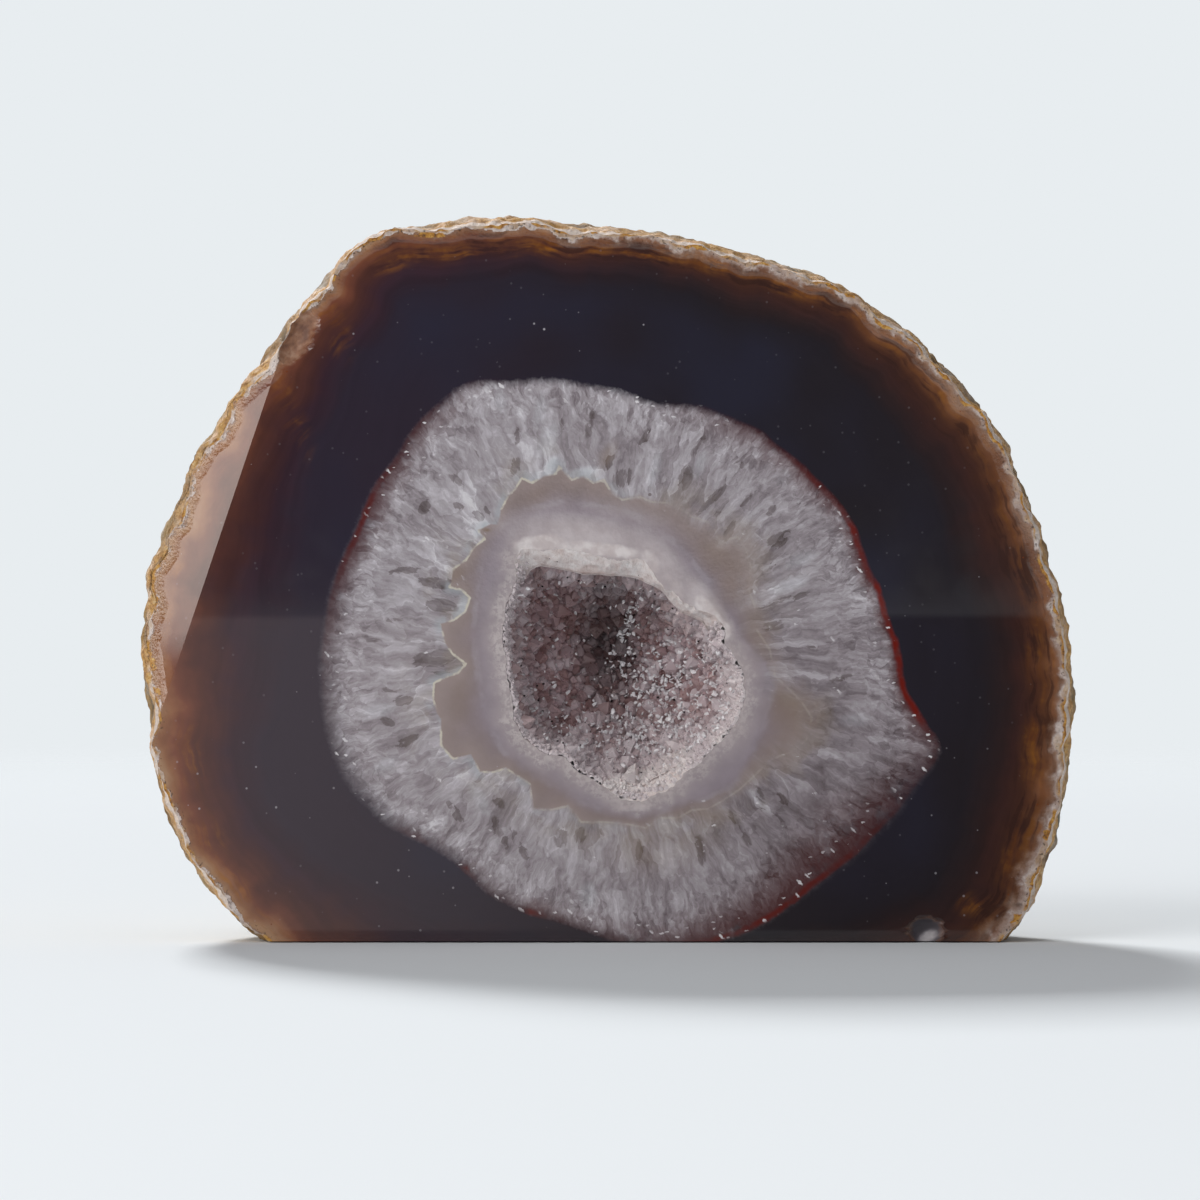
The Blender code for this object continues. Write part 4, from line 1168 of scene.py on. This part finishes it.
def face_values(p, outline, mouth):
    """Everything that the face's finish reads, at each point."""
    quartz, lavender = rounded(QUARTZ, 4), rounded(LAVENDER, 4)
    tips = np.array(TIPS, float)
    rim = gap_to(p, outline)
    turn = np.degrees(np.arctan2(650 - p[:, 1], p[:, 0] - 610)) % 360
    wide = by_angle(turn, [
        (0, 88), (20, 88), (40, 72), (60, 60), (80, 52), (100, 52), (120, 66), (140, 82), (158, 128),
        (172, 150), (185, 128), (200, 100), (220, 104), (250, 110), (300, 110), (330, 96),
    ])
    inq = signed(p, quartz)
    turn_q = np.degrees(np.arctan2(665 - p[:, 1], p[:, 0] - 625)) % 360
    edge = by_angle(turn_q, [
        (0, 9), (20, 9), (40, 9), (60, 8), (90, 8), (115, 10), (130, 17), (150, 26), (180, 30), (205, 26),
        (230, 15), (260, 12), (285, 18), (305, 34), (325, 44), (338, 34), (350, 12),
    ])
    intip = signed(p, tips)
    comb = np.clip(inq, 0, None) / (np.clip(inq, 0, None) + np.clip(-intip, 0, None) + 1e-6)
    lav = signed(p, lavender)
    lip = gap_to(p, mouth)
    chal = np.clip(intip, 0, None) / (np.clip(intip, 0, None) + lip + 1e-6)
    heading = np.arctan2(655 - p[:, 1], p[:, 0] - 614)
    reach = np.hypot(p[:, 0] - 614, p[:, 1] - 655)
    chip = patches(p, [(297, 337, 30, 14, 63, 1.0)], 0.05)
    white_chip = patches(p, [(926, 931, 17.5, 13.5, 0, 1.0)], 0.06)
    return {
        "rim": rim,
        "band": rim / wide,
        "west": smooth(p[:, 0], 760, 330),
        "inq": inq,
        "edge": edge,
        "comb": comb,
        "intip": intip,
        "chal": chal,
        "lav": lav,
        "lip": lip,
        "ring": np.stack([np.cos(heading), np.sin(heading), reach / 100], 1),
        "void": patches(p, VOIDS) * by_angle(turn_q, [(0, 0.7), (60, 0.55), (110, 0.65), (135, 1.0), (215, 1.0), (240, 0.7), (330, 0.7)]),
        "pale": patches(p, PALES, 0.5),
        "stain": patches(p, STAINS, 0.8),
        "pocket": patches(p, POCKETS, 0.5),
        "amber": patches(p, AMBERS, 0.9),
        "hole": patches(p, [(885, 317, 6, 2.6, -30, 0.95), (1019, 905, 4, 2, 0, 0.6), (1075, 720, 3, 2, 0, 0.4)], 0.5),
        "crust": by_angle(turn, [
            (0, 0.62), (15, 0.42), (30, 0.45), (40, 0.60), (55, 0.62), (75, 0.70), (92, 0.62), (100, 0.75), (112, 0.60),
            (125, 0.40), (140, 0.42), (165, 0.32), (182, 0.32), (192, 0.20), (225, 0.24), (238, 0.4), (300, 0.9), (325, 1.5), (345, 0.95),
        ]),
        "red": by_angle(turn_q, [
            (0, 1.0), (20, 1.0), (35, 0.85), (50, 0.7), (64, 0.5), (74, 0.22), (84, 0.0), (112, 0.0),
            (125, 0.45), (138, 0.66), (150, 0.8), (160, 0.7), (170, 0.45), (182, 0.2), (196, 0.0), (214, 0.0),
            (219, 0.55), (224, 0.3), (229, 0.1), (232, 0.8), (236, 0.3), (246, 0.3), (249, 0.85), (254, 0.5),
            (262, 0.35), (272, 0.55), (284, 0.8), (300, 0.85), (318, 0.8), (332, 0.6), (340, 0.35), (345, 0.5),
            (350, 0.95),
        ]),
        "redwide": by_angle(turn_q, [
            (0, 14), (30, 20), (60, 34), (120, 30), (155, 34), (180, 20), (230, 16), (270, 30), (300, 58),
            (325, 84), (338, 56), (350, 20),
        ]),
        "level": by_angle(turn_q, [
            (0, -0.03), (40, 0.0), (70, 0.04), (110, 0.10), (150, 0.08), (190, 0.06), (225, 0.05), (260, 0.05), (290, 0.02), (315, -0.09), (340, -0.05),
        ]),
        "tipsoft": by_angle(turn_q, [(0, 26), (30, 24), (60, 18), (80, 7), (100, 2.2), (130, 1.1), (215, 1.1), (235, 2.5), (262, 4), (290, 9), (315, 20), (335, 28)]),
        "brown": by_angle(turn_q, [(0, 0.75), (40, 0.55), (70, 0.25), (120, 0.15), (180, 0.2), (230, 0.2), (290, 0.45), (330, 0.75)]),
        "crescent": patches(p, [(928, 937, 11, 6, 25, 1.0), (941, 926, 2.5, 9, 20, 0.45)], 0.5),
        "tipline": by_angle(turn_q, [(0, 0.15), (60, 0.15), (85, 0.3), (100, 0.75), (130, 1.0), (215, 1.0), (232, 0.5), (262, 0.3), (330, 0.15)]),
        "lavsoft": by_angle(turn_q, [(0, 3.5), (30, 5), (60, 16), (90, 20), (130, 16), (180, 8), (230, 8), (300, 6)]),
        "milk": patches(p, [
            (585, 534, 66, 17, -6, 0.8), (660, 560, 34, 16, -50, 0.65), (700, 595, 24, 9, -52, 0.75),
            (545, 520, 30, 16, 10, 0.3), (625, 520, 40, 14, -10, 0.3),
        ], 0.8),
        "bleach": patches(p, [
            (540, 543, 28, 9, 4, 0.8), (598, 549, 50, 8, -6, 0.75), (650, 562, 16, 12, -50, 0.55), (680, 590, 30, 8, -46, 0.45), (712, 618, 28, 9, -54, 0.9),
            (722, 630, 12, 9, -60, 0.9), (524, 556, 8, 16, 0, 0.6), (640, 808, 30, 5, 0, 0.45),
        ], 0.6),
        "rimgrain": by_angle(turn_q, [(0, 0.5), (40, 0.0), (120, 0.0), (140, 0.7), (180, 1.0), (230, 0.9), (300, 0.6), (340, 0.7)]),
        "dusty": patches(p, [(590, 330, 70, 40, 0, 1.0), (365, 320, 40, 30, 0, 0.5), (250, 800, 90, 60, 0, 0.6), (420, 890, 60, 40, 0, 0.5), (960, 830, 60, 80, 0, 0.5)], 0.5),
        "chip": np.maximum(chip, white_chip),
        "chipwhite": white_chip,
    }


def cut_face(front):
    outline = face_outline(front)
    p, band, comb, loop, mouth = face_mesh(outline)
    values = face_values(p, outline, mouth)
    x, z = at(p[:, 0], p[:, 1])
    verts = ground(np.stack([x, np.full(len(p), FACE_Y), z], 1))
    for name, faces, slot in (("agate_band", band, "agate"), ("quartz_comb", comb, "quartz")):
        used, index = np.unique(np.array(faces), return_inverse=True)
        index = index.reshape(-1, 3)
        q = verts[used]
        a, b, c = q[index[:, 0]], q[index[:, 1]], q[index[:, 2]]
        flip = np.cross(b - a, c - a)[:, 1] > 0
        index[flip] = index[flip][:, ::-1]
        make_piece(
            name, q, index, polished(name, slot == "quartz"), {k: v[used] for k, v in values.items()},
            flat_uv(q[:, 0], q[:, 2]), 12,
        )
    return loop


def saw_base(rind_verts, loop):
    """The flat underside, between the rind's cut and the face's lower edge."""
    back = rind_verts[np.abs(rind_verts[:, 2]) < 1e-9][:, :2]
    bottom = loop[np.abs(loop[:, 1] - BASE_V) < 1e-9]
    x = np.sort((bottom[:, 0] - AXIS_U) * UNIT)
    edge = ground(np.stack([x, np.full(len(x), FACE_Y), np.zeros(len(x))], 1))[:, :2]
    middle = (0.003, FACE_Y + 0.002)
    back = back[back[:, 1] > FACE_Y + 1e-7]
    back = back[np.argsort(np.arctan2(back[:, 1] - middle[1], back[:, 0] - middle[0]))]
    back = back[(np.arctan2(back[:, 1] - middle[1], back[:, 0] - middle[0]) > -0.6)]
    rim = np.concatenate([edge, back[np.argsort(-np.interp(np.arctan2(back[:, 1] - FACE_Y, back[:, 0] - 0.003), [0, math.pi], [1, 0]))]])
    mm = rim * 1000
    spots = np.stack(np.meshgrid(np.arange(-72, 72, 1.2), np.arange(-29, 30, 1.2)), -1).reshape(-1, 2) + 0.013
    spots = spots[within(spots, mm)]
    spots = spots[gap_to(spots, mm) > 0.5]
    mm = anticlockwise(mm)
    flat = np.concatenate([mm, spots])
    ids = list(range(len(mm)))
    made = delaunay_2d_cdt([Vector(p) for p in flat.tolist()], list(zip(ids, ids[1:] + ids[:1])), [ids], 0, 1e-6)
    p = np.array([tuple(v) for v in made[0]])
    faces = np.array([f for f, o in zip(made[2], made[5]) if 0 in o])
    a, b, c = p[faces[:, 0]], p[faces[:, 1]], p[faces[:, 2]]
    up = (b - a)[:, 0] * (c - a)[:, 1] - (b - a)[:, 1] * (c - a)[:, 0] > 0
    faces[up] = faces[up][:, ::-1]
    # the bands follow the rind, not the saw cut, so the front edge doesn't count
    natural = back * 1000
    gap = np.full(len(p), 1e9)
    for q in np.array_split(natural, 40):
        gap = np.minimum(gap, np.linalg.norm(p[:, None] - q[None], axis=2).min(1))
    comb = 3.0 - np.hypot((p[:, 0] - 12.5) / 2.6, (p[:, 1] + 29.0) / 0.9)
    make_piece(
        "sawn_base", np.column_stack([p / 1000, np.zeros(len(p))]), faces, sawn(),
        {"rim": gap, "quartz": comb}, flat_uv(p[:, 0], p[:, 1]), 12,
    )


def vug_rows(a, mouth_r, rows):
    """Rings of points down the hollow for each (deep, share of throat, size)."""
    throat = radius_of(THROAT, VUG_HEART)(a)
    x, z = at(*VUG_HEART)
    out = []
    for deep, inner, size in rows:
        r = ((1 - inner) * mouth_r + inner * throat) * size
        out.append(np.stack([x + r * np.cos(a), np.full(len(a), FACE_Y + deep), z + r * np.sin(a)], 1))
    return np.array(out)


def grid_faces(rows, columns, offset=0):
    i = np.arange(columns)
    j = (i + 1) % columns
    faces = []
    for k in range(rows - 1):
        a, b = offset + k * columns, offset + (k + 1) * columns
        faces.append(np.stack([a + i, b + i, b + j], 1))
        faces.append(np.stack([a + i, b + j, a + j], 1))
    return np.concatenate(faces)


def wall_profile(count):
    share = np.array([LIP_DEPTH / VUG_DEPTH] + [w[0] for w in VUG_WALL] + [1.0])
    size = np.array([1.0] + [w[1] for w in VUG_WALL] + [0.0])
    length = np.concatenate([[0], np.cumsum(np.hypot(np.diff(share) * VUG_DEPTH, np.diff(size) * 0.016))])
    s = np.linspace(0, length[-1], count)
    return np.interp(s, length, share) * VUG_DEPTH, np.interp(s, length, size)


def hollow():
    a, mouth_r = mouth_line()
    n = len(a)
    x, z = at(*VUG_HEART)
    turn = np.degrees(a) % 360
    # the crust between the polished edge and the crystals
    steps = np.linspace(0, 1, 12)
    rows = [(LIP_DEPTH * (0.15 * f + 0.85 * f**1.3), f**0.9, 1.0) for f in steps]
    crust = vug_rows(a, mouth_r, rows)
    flatp = crust.reshape(-1, 3)
    rise = (np.sin(np.pi * np.clip(steps * 0.95, 0, 1)) ** 0.7)[:, None] * np.ones(n)
    bump = (0.00022 * swirl(flatp, 420, 21) + 0.00014 * swirl(flatp, 1100, 22) + 0.00007 * swirl(flatp, 2600, 23)) * rise.ravel()
    flatp[:, 1] -= bump - 0.0001 * rise.ravel()
    flatp[:, 1] = np.maximum(flatp[:, 1], FACE_Y)
    radial = np.stack([np.cos(np.tile(a, 12)), np.zeros(12 * n), np.sin(np.tile(a, 12))], 1)
    flatp += radial * (0.00016 * swirl(flatp, 700, 24) * rise.ravel())[:, None]
    white = by_angle(turn, [(0, 0.15), (30, 0.5), (38, 1.0), (128, 1.0), (136, 0.6), (145, 0.1), (240, 0.1), (250, 0.7), (258, 1.0), (305, 1.0), (316, 0.4), (330, 0.25), (345, 0.15)])
    make_piece(
        "vug_crust", flatp, grid_faces(12, n), crust_rock(), {"white": np.tile(white, 12)},
        0.5 + 0.49 * np.stack([np.cos(np.tile(a, 12)), np.sin(np.tile(a, 12))], 1) * np.repeat(1 - 0.35 * steps, n)[:, None],
        60,
    )
    # the wall
    m, n2 = 64, 300
    a2 = 2 * math.pi * np.arange(n2) / n2
    deep, size = wall_profile(m)
    mouth2 = np.interp(a2, a, mouth_r, period=2 * math.pi)
    rows = [(d, 1.0, max(g, 0.004)) for d, g in zip(deep, size)]
    rows[0] = (rows[0][0] - 0.0004, 1.0, 1.012)
    wall = vug_rows(a2, mouth2, rows)
    p = wall.reshape(-1, 3)
    inward = np.stack([x - p[:, 0], np.zeros(len(p)), z - p[:, 2]], 1)
    inward /= np.linalg.norm(inward, axis=1)[:, None] + 1e-9
    fade = np.repeat(smooth(np.arange(m) / 6.0), n2)
    swell = 0.0008 * swirl(p, 190, 31) + 0.00035 * swirl(p, 520, 32) + 0.0002 * swirl(p, 1200, 33)
    tilt = np.repeat(np.clip(1 - size, 0, 1), n2)
    p = p + (inward * (1 - 0.6 * tilt)[:, None] - np.array([0, 1, 0]) * (0.3 + 0.7 * tilt)[:, None]) * (swell * fade)[:, None]
    far = 1 - np.repeat(np.arange(m) / (m - 1), n2)
    make_piece(
        "vug_wall", p, grid_faces(m, n2), vug_rock(), {},
        0.5 + 0.495 * np.stack([np.cos(np.tile(a2, m)), np.sin(np.tile(a2, m))], 1) * (0.02 + 0.98 * far)[:, None], 180,
    )
    return p.reshape(m, n2, 3), flatp.reshape(12, n, 3)


def druse(wall, crust):
    """Quartz points all over the wall, each a six-sided prism with a pointed end."""
    dice = np.random.default_rng(23)
    m, n = wall.shape[:2]
    right = np.roll(wall, -1, 1)
    p00, p10, p01 = wall[:-1], wall[1:], right[:-1]
    normal = np.cross(p01 - p00, p10 - p00)
    area = np.linalg.norm(normal, axis=2)
    normal = normal / (area[:, :, None] + 1e-15)
    middle = np.array([at(*VUG_HEART)[0], FACE_Y + 0.004, at(*VUG_HEART)[1]])
    flip = ((middle - p00) * normal).sum(2) < 0
    normal[flip] *= -1
    chance = area.ravel() / area.sum()
    tries = 26000
    pick = dice.choice(len(chance), tries, p=chance)
    f, g = dice.random(tries), dice.random(tries)
    row, col = pick // n, pick % n
    spot = p00[row, col] + f[:, None] * (p01 - p00)[row, col] + g[:, None] * (p10 - p00)[row, col]
    face = normal[row, col]
    radius = 0.00056 + 0.00092 * dice.random(tries) ** 2.0
    taken, kept = {}, []
    step = 0.0015
    for i in range(tries):
        key = tuple((spot[i] // step).astype(int))
        clash = False
        for dx in (-1, 0, 1):
            for dy in (-1, 0, 1):
                for dz in (-1, 0, 1):
                    for j in taken.get((key[0] + dx, key[1] + dy, key[2] + dz), ()):
                        if ((spot[i] - spot[j]) ** 2).sum() < (0.50 * (radius[i] + radius[j])) ** 2:
                            clash = True
                            break
                    if clash:
                        break
                if clash:
                    break
            if clash:
                break
        if not clash:
            taken.setdefault(key, []).append(i)
            kept.append(i)
    kept = np.array(kept)
    turn = np.degrees(np.arctan2(spot[:, 2] - at(*VUG_HEART)[1], spot[:, 0] - at(*VUG_HEART)[0])) % 360
    ledge = by_angle(turn, [(30, 0.0), (38, 1.0), (128, 1.0), (136, 0.3), (145, 0.0), (250, 0.0), (258, 0.5), (305, 0.5), (316, 0.0)])
    kept = kept[(spot[:, 1] - FACE_Y)[kept] > LIP_DEPTH + 0.0024 * ledge[kept]]
    spot, face, radius = spot[kept], face[kept], radius[kept]
    count = len(kept)

    # tiny bright splinters, thick in two places of the right-hand side: painted glints of crystal facets
    extra = dice.choice(len(chance), 12000, p=chance)
    er, ec = extra // n, extra % n
    es = p00[er, ec] + dice.random((12000, 1)) * (p01 - p00)[er, ec] + dice.random((12000, 1)) * (p10 - p00)[er, ec]
    eu, ev = es[:, 0] / UNIT + AXIS_U, BASE_V - es[:, 2] / UNIT
    uv = np.stack([eu, ev], 1)
    want = patches(uv, [
        (628, 638, 40, 12, 80, 1.0), (660, 690, 48, 26, 62, 1.0), (650, 735, 60, 26, 0, 0.7), (700, 690, 34, 44, 0, 0.45),
        (570, 620, 60, 50, 0, 0.04), (570, 725, 44, 22, -30, 0.3), (610, 690, 110, 110, 0, 0.05),
    ], 0.6)
    chosen = dice.random(12000) < want * 0.42
    es, en = es[chosen], normal[er, ec][chosen]
    lift = 0.0009 + 0.0006 * dice.random(len(es))
    es = es + en * lift[:, None]
    er_size = 0.00013 + 0.00017 * dice.random(len(es))

    # small pale grains fringe the mouth, except on the white ledge
    rows, ring = crust.shape[:2]
    gr, gc = dice.integers(1, rows, 5200), dice.integers(0, ring, 5200)
    gs = crust[gr, gc] + 0.0001 * dice.normal(size=(5200, 3))
    gt = np.degrees(np.arctan2(gs[:, 2] - middle[2], gs[:, 0] - middle[0])) % 360
    bare = by_angle(gt, [(20, 1.0), (34, 0.0), (128, 0.0), (138, 0.6), (146, 1.0), (250, 1.0), (258, 0.35), (305, 0.35), (316, 1.0)])
    gs = gs[dice.random(5200) < bare * 0.62]
    toward = middle + (0, 0.002, 0) - gs
    gn = toward / np.linalg.norm(toward, axis=1)[:, None] * 0.75 - (0, 0.5, 0)
    gn /= np.linalg.norm(gn, axis=1)[:, None]
    g_size = 0.00020 + 0.00026 * dice.random(len(gs))
    gs = gs - gn * 0.0001

    spot = np.concatenate([spot, es, gs])
    face = np.concatenate([face, en, gn])
    radius = np.concatenate([radius, er_size, g_size])
    fleck = np.concatenate([np.zeros(count), np.ones(len(es)), np.zeros(len(gs))])
    grain = np.concatenate([np.zeros(count + len(es)), np.ones(len(gs))])
    total = len(spot)

    wander = dice.normal(size=(total, 3))
    lean = np.where(fleck > 0.5, 1.2, np.where(grain > 0.5, 0.55, 0.27))
    axis = face + wander * lean[:, None] * 0.8
    axis /= np.linalg.norm(axis, axis=1)[:, None]
    side = np.cross(axis, dice.normal(size=(total, 3)))
    side /= np.linalg.norm(side, axis=1)[:, None]
    other = np.cross(axis, side)
    tall = radius * (0.15 + 0.55 * dice.random(total)) * np.where(fleck > 0.5, 2.2, 1.0)
    point = radius * (0.80 + 0.50 * dice.random(total))
    thin = np.where(fleck > 0.5, 0.45, 1.0)
    turns = np.arange(6) * math.pi / 3
    low, high = [], []
    wobble = 1 + 0.14 * (dice.random((total, 6)) - 0.5)
    for t, w in zip(turns, wobble.T):
        around = (side * math.cos(t) + other * (math.sin(t) * thin)[:, None]) * (radius * w)[:, None]
        low.append(spot + around * 1.02 - axis * (radius * 0.7)[:, None])
        high.append(spot + around * 0.94 + axis * (tall + radius * 0.10 * math.cos(3 * t))[:, None])
    nudge = (side * dice.normal(size=(total, 1)) + other * dice.normal(size=(total, 1))) * (radius * 0.16)[:, None]
    tip = spot + axis * (tall + point)[:, None] + nudge
    verts = np.stack([*low, *high, tip], 1)  # total, 13, 3
    verts[:, :, 1] = np.maximum(verts[:, :, 1], FACE_Y + np.where(grain > 0.5, 0.00006, 0.00040)[:, None])
    pattern = []
    for i in range(6):
        j = (i + 1) % 6
        pattern += [(i, j, 6 + j), (i, 6 + j, 6 + i), (6 + i, 6 + j, 12)]
    tint = dice.random(total)
    u, v = spot[:, 0] / UNIT + AXIS_U, BASE_V - spot[:, 2] / UNIT
    uv2 = np.stack([u, v], 1)
    # painted light: crystals paler towards the lower right and the throat of the hollow, plus random tone and the pale
    # grains
    light = 0.5 * smooth((u - 640) * 0.8 + (v - 680) * 0.55, -80, 100) + 0.5 * smooth(gap_to(uv2, np.array(THROAT, float)), 22, 4)
    light = light + 0.35 * patches(uv2, [(610, 745, 90, 30, 0, 1.0)], 0.8)
    light = np.clip(light + 0.40 * (tint - 0.5) + 0.8 * grain, 0, 1)
    # painted shadow: darker crystals under the top lip and deep in the hollow
    painted_shadow = patches(uv2, [(608, 640, 30, 62, 0, 1.25), (606, 598, 36, 20, 0, 0.7), (640, 610, 40, 24, -30, 0.45)], 0.7)
    # white crystals on the lower and right lip: partly their own white, partly a painted highlight where the lip
    # catches the light
    snow_and_highlight = patches(uv2, [(640, 782, 44, 9, 8, 1.0), (674, 766, 22, 9, 40, 0.9), (738, 700, 10, 34, 0, 0.3), (724, 742, 12, 8, 50, 0.7)], 0.5)
    snow_and_highlight = np.clip(snow_and_highlight * (0.4 + 0.8 * dice.random(total)) + grain * 0.25 * dice.random(total), 0, 1)
    local = np.array(
        [(0.5 + 0.44 * math.cos(t), 0.5 + 0.44 * math.sin(t)) for t in turns]
        + [(0.5 + 0.26 * math.cos(t), 0.5 + 0.26 * math.sin(t)) for t in turns]
        + [(0.5, 0.5)]
    )
    for name, these, look in (
        ("druse_points", fleck < 0.5, druse_glass()), ("painted_glint_splinters", fleck > 0.5, splinters()),
    ):
        many = int(these.sum())
        cells = int(math.ceil(math.sqrt(many)))
        cell = np.stack([np.arange(many) % cells, np.arange(many) // cells], 1)
        uv = (cell[:, None] + local[None]) / cells
        faces = (np.array(pattern)[None] + 13 * np.arange(many)[:, None, None]).reshape(-1, 3)
        values = {"tint": tint, "light": light, "painted_shadow": painted_shadow, "snow_and_highlight": snow_and_highlight}
        make_piece(
            name, verts[these].reshape(-1, 3), faces, look,
            {k: np.repeat(v[these], 13) for k, v in values.items()}, 0.003 + 0.994 * uv.reshape(-1, 2), None,
        )
    # grains of iron oxide
    bm = bmesh.new()
    bmesh.ops.create_icosphere(bm, subdivisions=1, radius=1)
    ball = np.array([tuple(v.co) for v in bm.verts])
    tri = np.array([[v.index for v in f.verts] for f in bm.faces])
    bm.free()
    some = dice.choice(count, 64, replace=False)
    grains, grain_faces = [], []
    for k, i in enumerate(some):
        size = 0.00013 + 0.00013 * dice.random()
        centre = spot[i] + axis[i] * (tall[i] + 0.85 * point[i]) + side[i] * radius[i] * 0.15
        grains.append(centre + ball * (size * np.array([1.0, 1.2, 0.8])))
        grain_faces.append(tri + k * len(ball))
    grains = np.concatenate(grains)
    make_piece("iron_grains", grains, np.concatenate(grain_faces), iron(), {}, flat_uv(grains[:, 0], grains[:, 2]), 180)


# ------------------------------------------------------------ stage, light and camera
def floor():
    s = Shade("floor")
    where = s.where()
    far = s.math("SQRT", s.add(s.math("POWER", s.channel(where, 0), 2.0), s.math("POWER", s.channel(where, 1), 2.0)))
    s.set(Base_Color=rgb("#e8edf0"), Roughness=0.9, Specular_IOR_Level=0.0)
    clear = s.nodes.new("ShaderNodeBsdfTransparent")
    both = s.nodes.new("ShaderNodeMixShader")
    s.put(both.inputs[0], s.step(far, 0.5, 1.25))
    s.links.new(s.bsdf.outputs[0], both.inputs[1])
    s.links.new(clear.outputs[0], both.inputs[2])
    s.links.new(both.outputs[0], s.out.inputs[0])
    mesh = bpy.data.meshes.new("floor")
    ring = [(3 * math.cos(t), 3 * math.sin(t), -0.0002) for t in np.arange(96) * math.pi / 48]
    mesh.from_pydata(ring, [], [list(range(96))])
    mesh.materials.append(s.mat)
    obj = bpy.data.objects.new("floor", mesh)
    bpy.context.scene.collection.objects.link(obj)


def world():
    """Pale to the camera; a dim room with a pale table below for everything else."""
    w = bpy.data.worlds.new("studio")
    bpy.context.scene.world = w
    w.use_nodes = True
    nodes, links = w.node_tree.nodes, w.node_tree.links
    nodes.clear()
    out = nodes.new("ShaderNodeOutputWorld")
    coord = nodes.new("ShaderNodeTexCoord")
    split = nodes.new("ShaderNodeSeparateXYZ")
    links.new(coord.outputs["Generated"], split.inputs[0])
    ramp = nodes.new("ShaderNodeMapRange")
    ramp.interpolation_type = "SMOOTHSTEP"
    for key, value in (("From Min", -0.0050), ("From Max", -0.0012), ("To Min", 0.0), ("To Max", 1.0)):
        ramp.inputs[key].default_value = value
    links.new(split.outputs["Z"], ramp.inputs["Value"])
    sky = nodes.new("ShaderNodeValToRGB")
    sky.color_ramp.elements[0].position, sky.color_ramp.elements[0].color = 0.0, (0.10, 0.10, 0.11, 1)
    sky.color_ramp.elements[1].position, sky.color_ramp.elements[1].color = 1.0, (0.34, 0.34, 0.35, 1)
    mark = sky.color_ramp.elements.new(0.22)
    mark.color = (0.14, 0.14, 0.15, 1)
    mark = sky.color_ramp.elements.new(0.6)
    mark.color = (0.25, 0.25, 0.26, 1)
    links.new(split.outputs["Z"], sky.inputs[0])
    mix = nodes.new("ShaderNodeMix")
    mix.data_type = "RGBA"
    links.new(ramp.outputs[0], mix.inputs[0])
    mix.inputs[6].default_value = (0.76, 0.77, 0.77, 1)
    links.new(sky.outputs[0], mix.inputs[7])
    room = nodes.new("ShaderNodeBackground")
    links.new(mix.outputs[2], room.inputs[0])
    seen = nodes.new("ShaderNodeBackground")
    seen.inputs[0].default_value = rgb("#e8edf0")
    path = nodes.new("ShaderNodeLightPath")
    both = nodes.new("ShaderNodeMixShader")
    links.new(path.outputs["Is Camera Ray"], both.inputs[0])
    links.new(room.outputs[0], both.inputs[1])
    links.new(seen.outputs[0], both.inputs[2])
    links.new(both.outputs[0], out.inputs[0])


def softbox(name, place, target, width, height, radiance, tint=(1.0, 1.0, 1.0)):
    light = bpy.data.lights.new(name, "AREA")
    light.shape = "RECTANGLE"
    light.size, light.size_y = width, height
    light.energy = radiance * math.pi * width * height
    light.color = tint
    obj = bpy.data.objects.new(name, light)
    obj.location = place
    obj.rotation_euler = (Vector(target) - Vector(place)).to_track_quat("-Z", "Y").to_euler()
    obj.visible_camera = False
    bpy.context.scene.collection.objects.link(obj)
    return obj


def lights():
    softbox("key", (-0.85, -1.45, 1.00), (0, 0, 0.05), 0.8, 0.8, 4.0)
    softbox("left", (-1.43, -0.86, 0.74), (0, 0, 0.74), 0.9, 0.58, 4.8, (1.0, 0.93, 0.88))
    softbox("back", (-2.00, 6.80, 5.00), (0, -0.05, 0.0), 1.90, 1.90, 64.0)


def reflector():
    """A low pale card in front, seen only in the polish: it makes the level line across the face."""
    s = Shade("reflector")
    where = s.where()
    s.nodes.remove(s.bsdf)
    glow = s.nodes.new("ShaderNodeEmission")
    s.put(glow.inputs[0], rgb("#ece2e2"))
    s.put(glow.inputs[1], s.step(s.channel(where, 0), -0.055, 0.045, 0.95, 0.12))
    clear = s.nodes.new("ShaderNodeBsdfTransparent")
    both = s.nodes.new("ShaderNodeMixShader")
    s.put(both.inputs[0], s.step(s.channel(where, 2), 0.0480, 0.0493))
    s.links.new(glow.outputs[0], both.inputs[1])
    s.links.new(clear.outputs[0], both.inputs[2])
    s.links.new(both.outputs[0], s.out.inputs[0])
    s.mat.cycles.emission_sampling = "NONE"
    mesh = bpy.data.meshes.new("reflector")
    y = FACE_Y - 0.03
    mesh.from_pydata([(-0.3, y, 0), (0.3, y, 0), (0.3, y, 0.05), (-0.3, y, 0.05)], [], [(0, 1, 2, 3)])
    mesh.materials.append(s.mat)
    obj = bpy.data.objects.new("reflector", mesh)
    for seen in ("camera", "diffuse", "shadow", "transmission", "volume_scatter"):
        setattr(obj, "visible_" + seen, False)
    bpy.context.scene.collection.objects.link(obj)


def camera():
    cam = bpy.data.cameras.new("camera")
    cam.lens, cam.sensor_width = 180.0, 36.0
    cam.clip_start, cam.clip_end = 0.05, 50.0
    obj = bpy.data.objects.new("camera", cam)
    obj.location = ((600 - AXIS_U) * UNIT, FACE_Y - 0.9, (BASE_V - 600) * UNIT)
    obj.rotation_euler = (math.radians(90), 0, 0)
    bpy.context.scene.collection.objects.link(obj)
    bpy.context.scene.camera = obj


rind_verts, front_ring = grow_rind()
face_loop = cut_face(front_ring)
saw_base(rind_verts, face_loop)
druse(*hollow())
floor()
reflector()
world()
lights()
camera()
bpy.context.scene.view_settings.view_transform = "Standard"
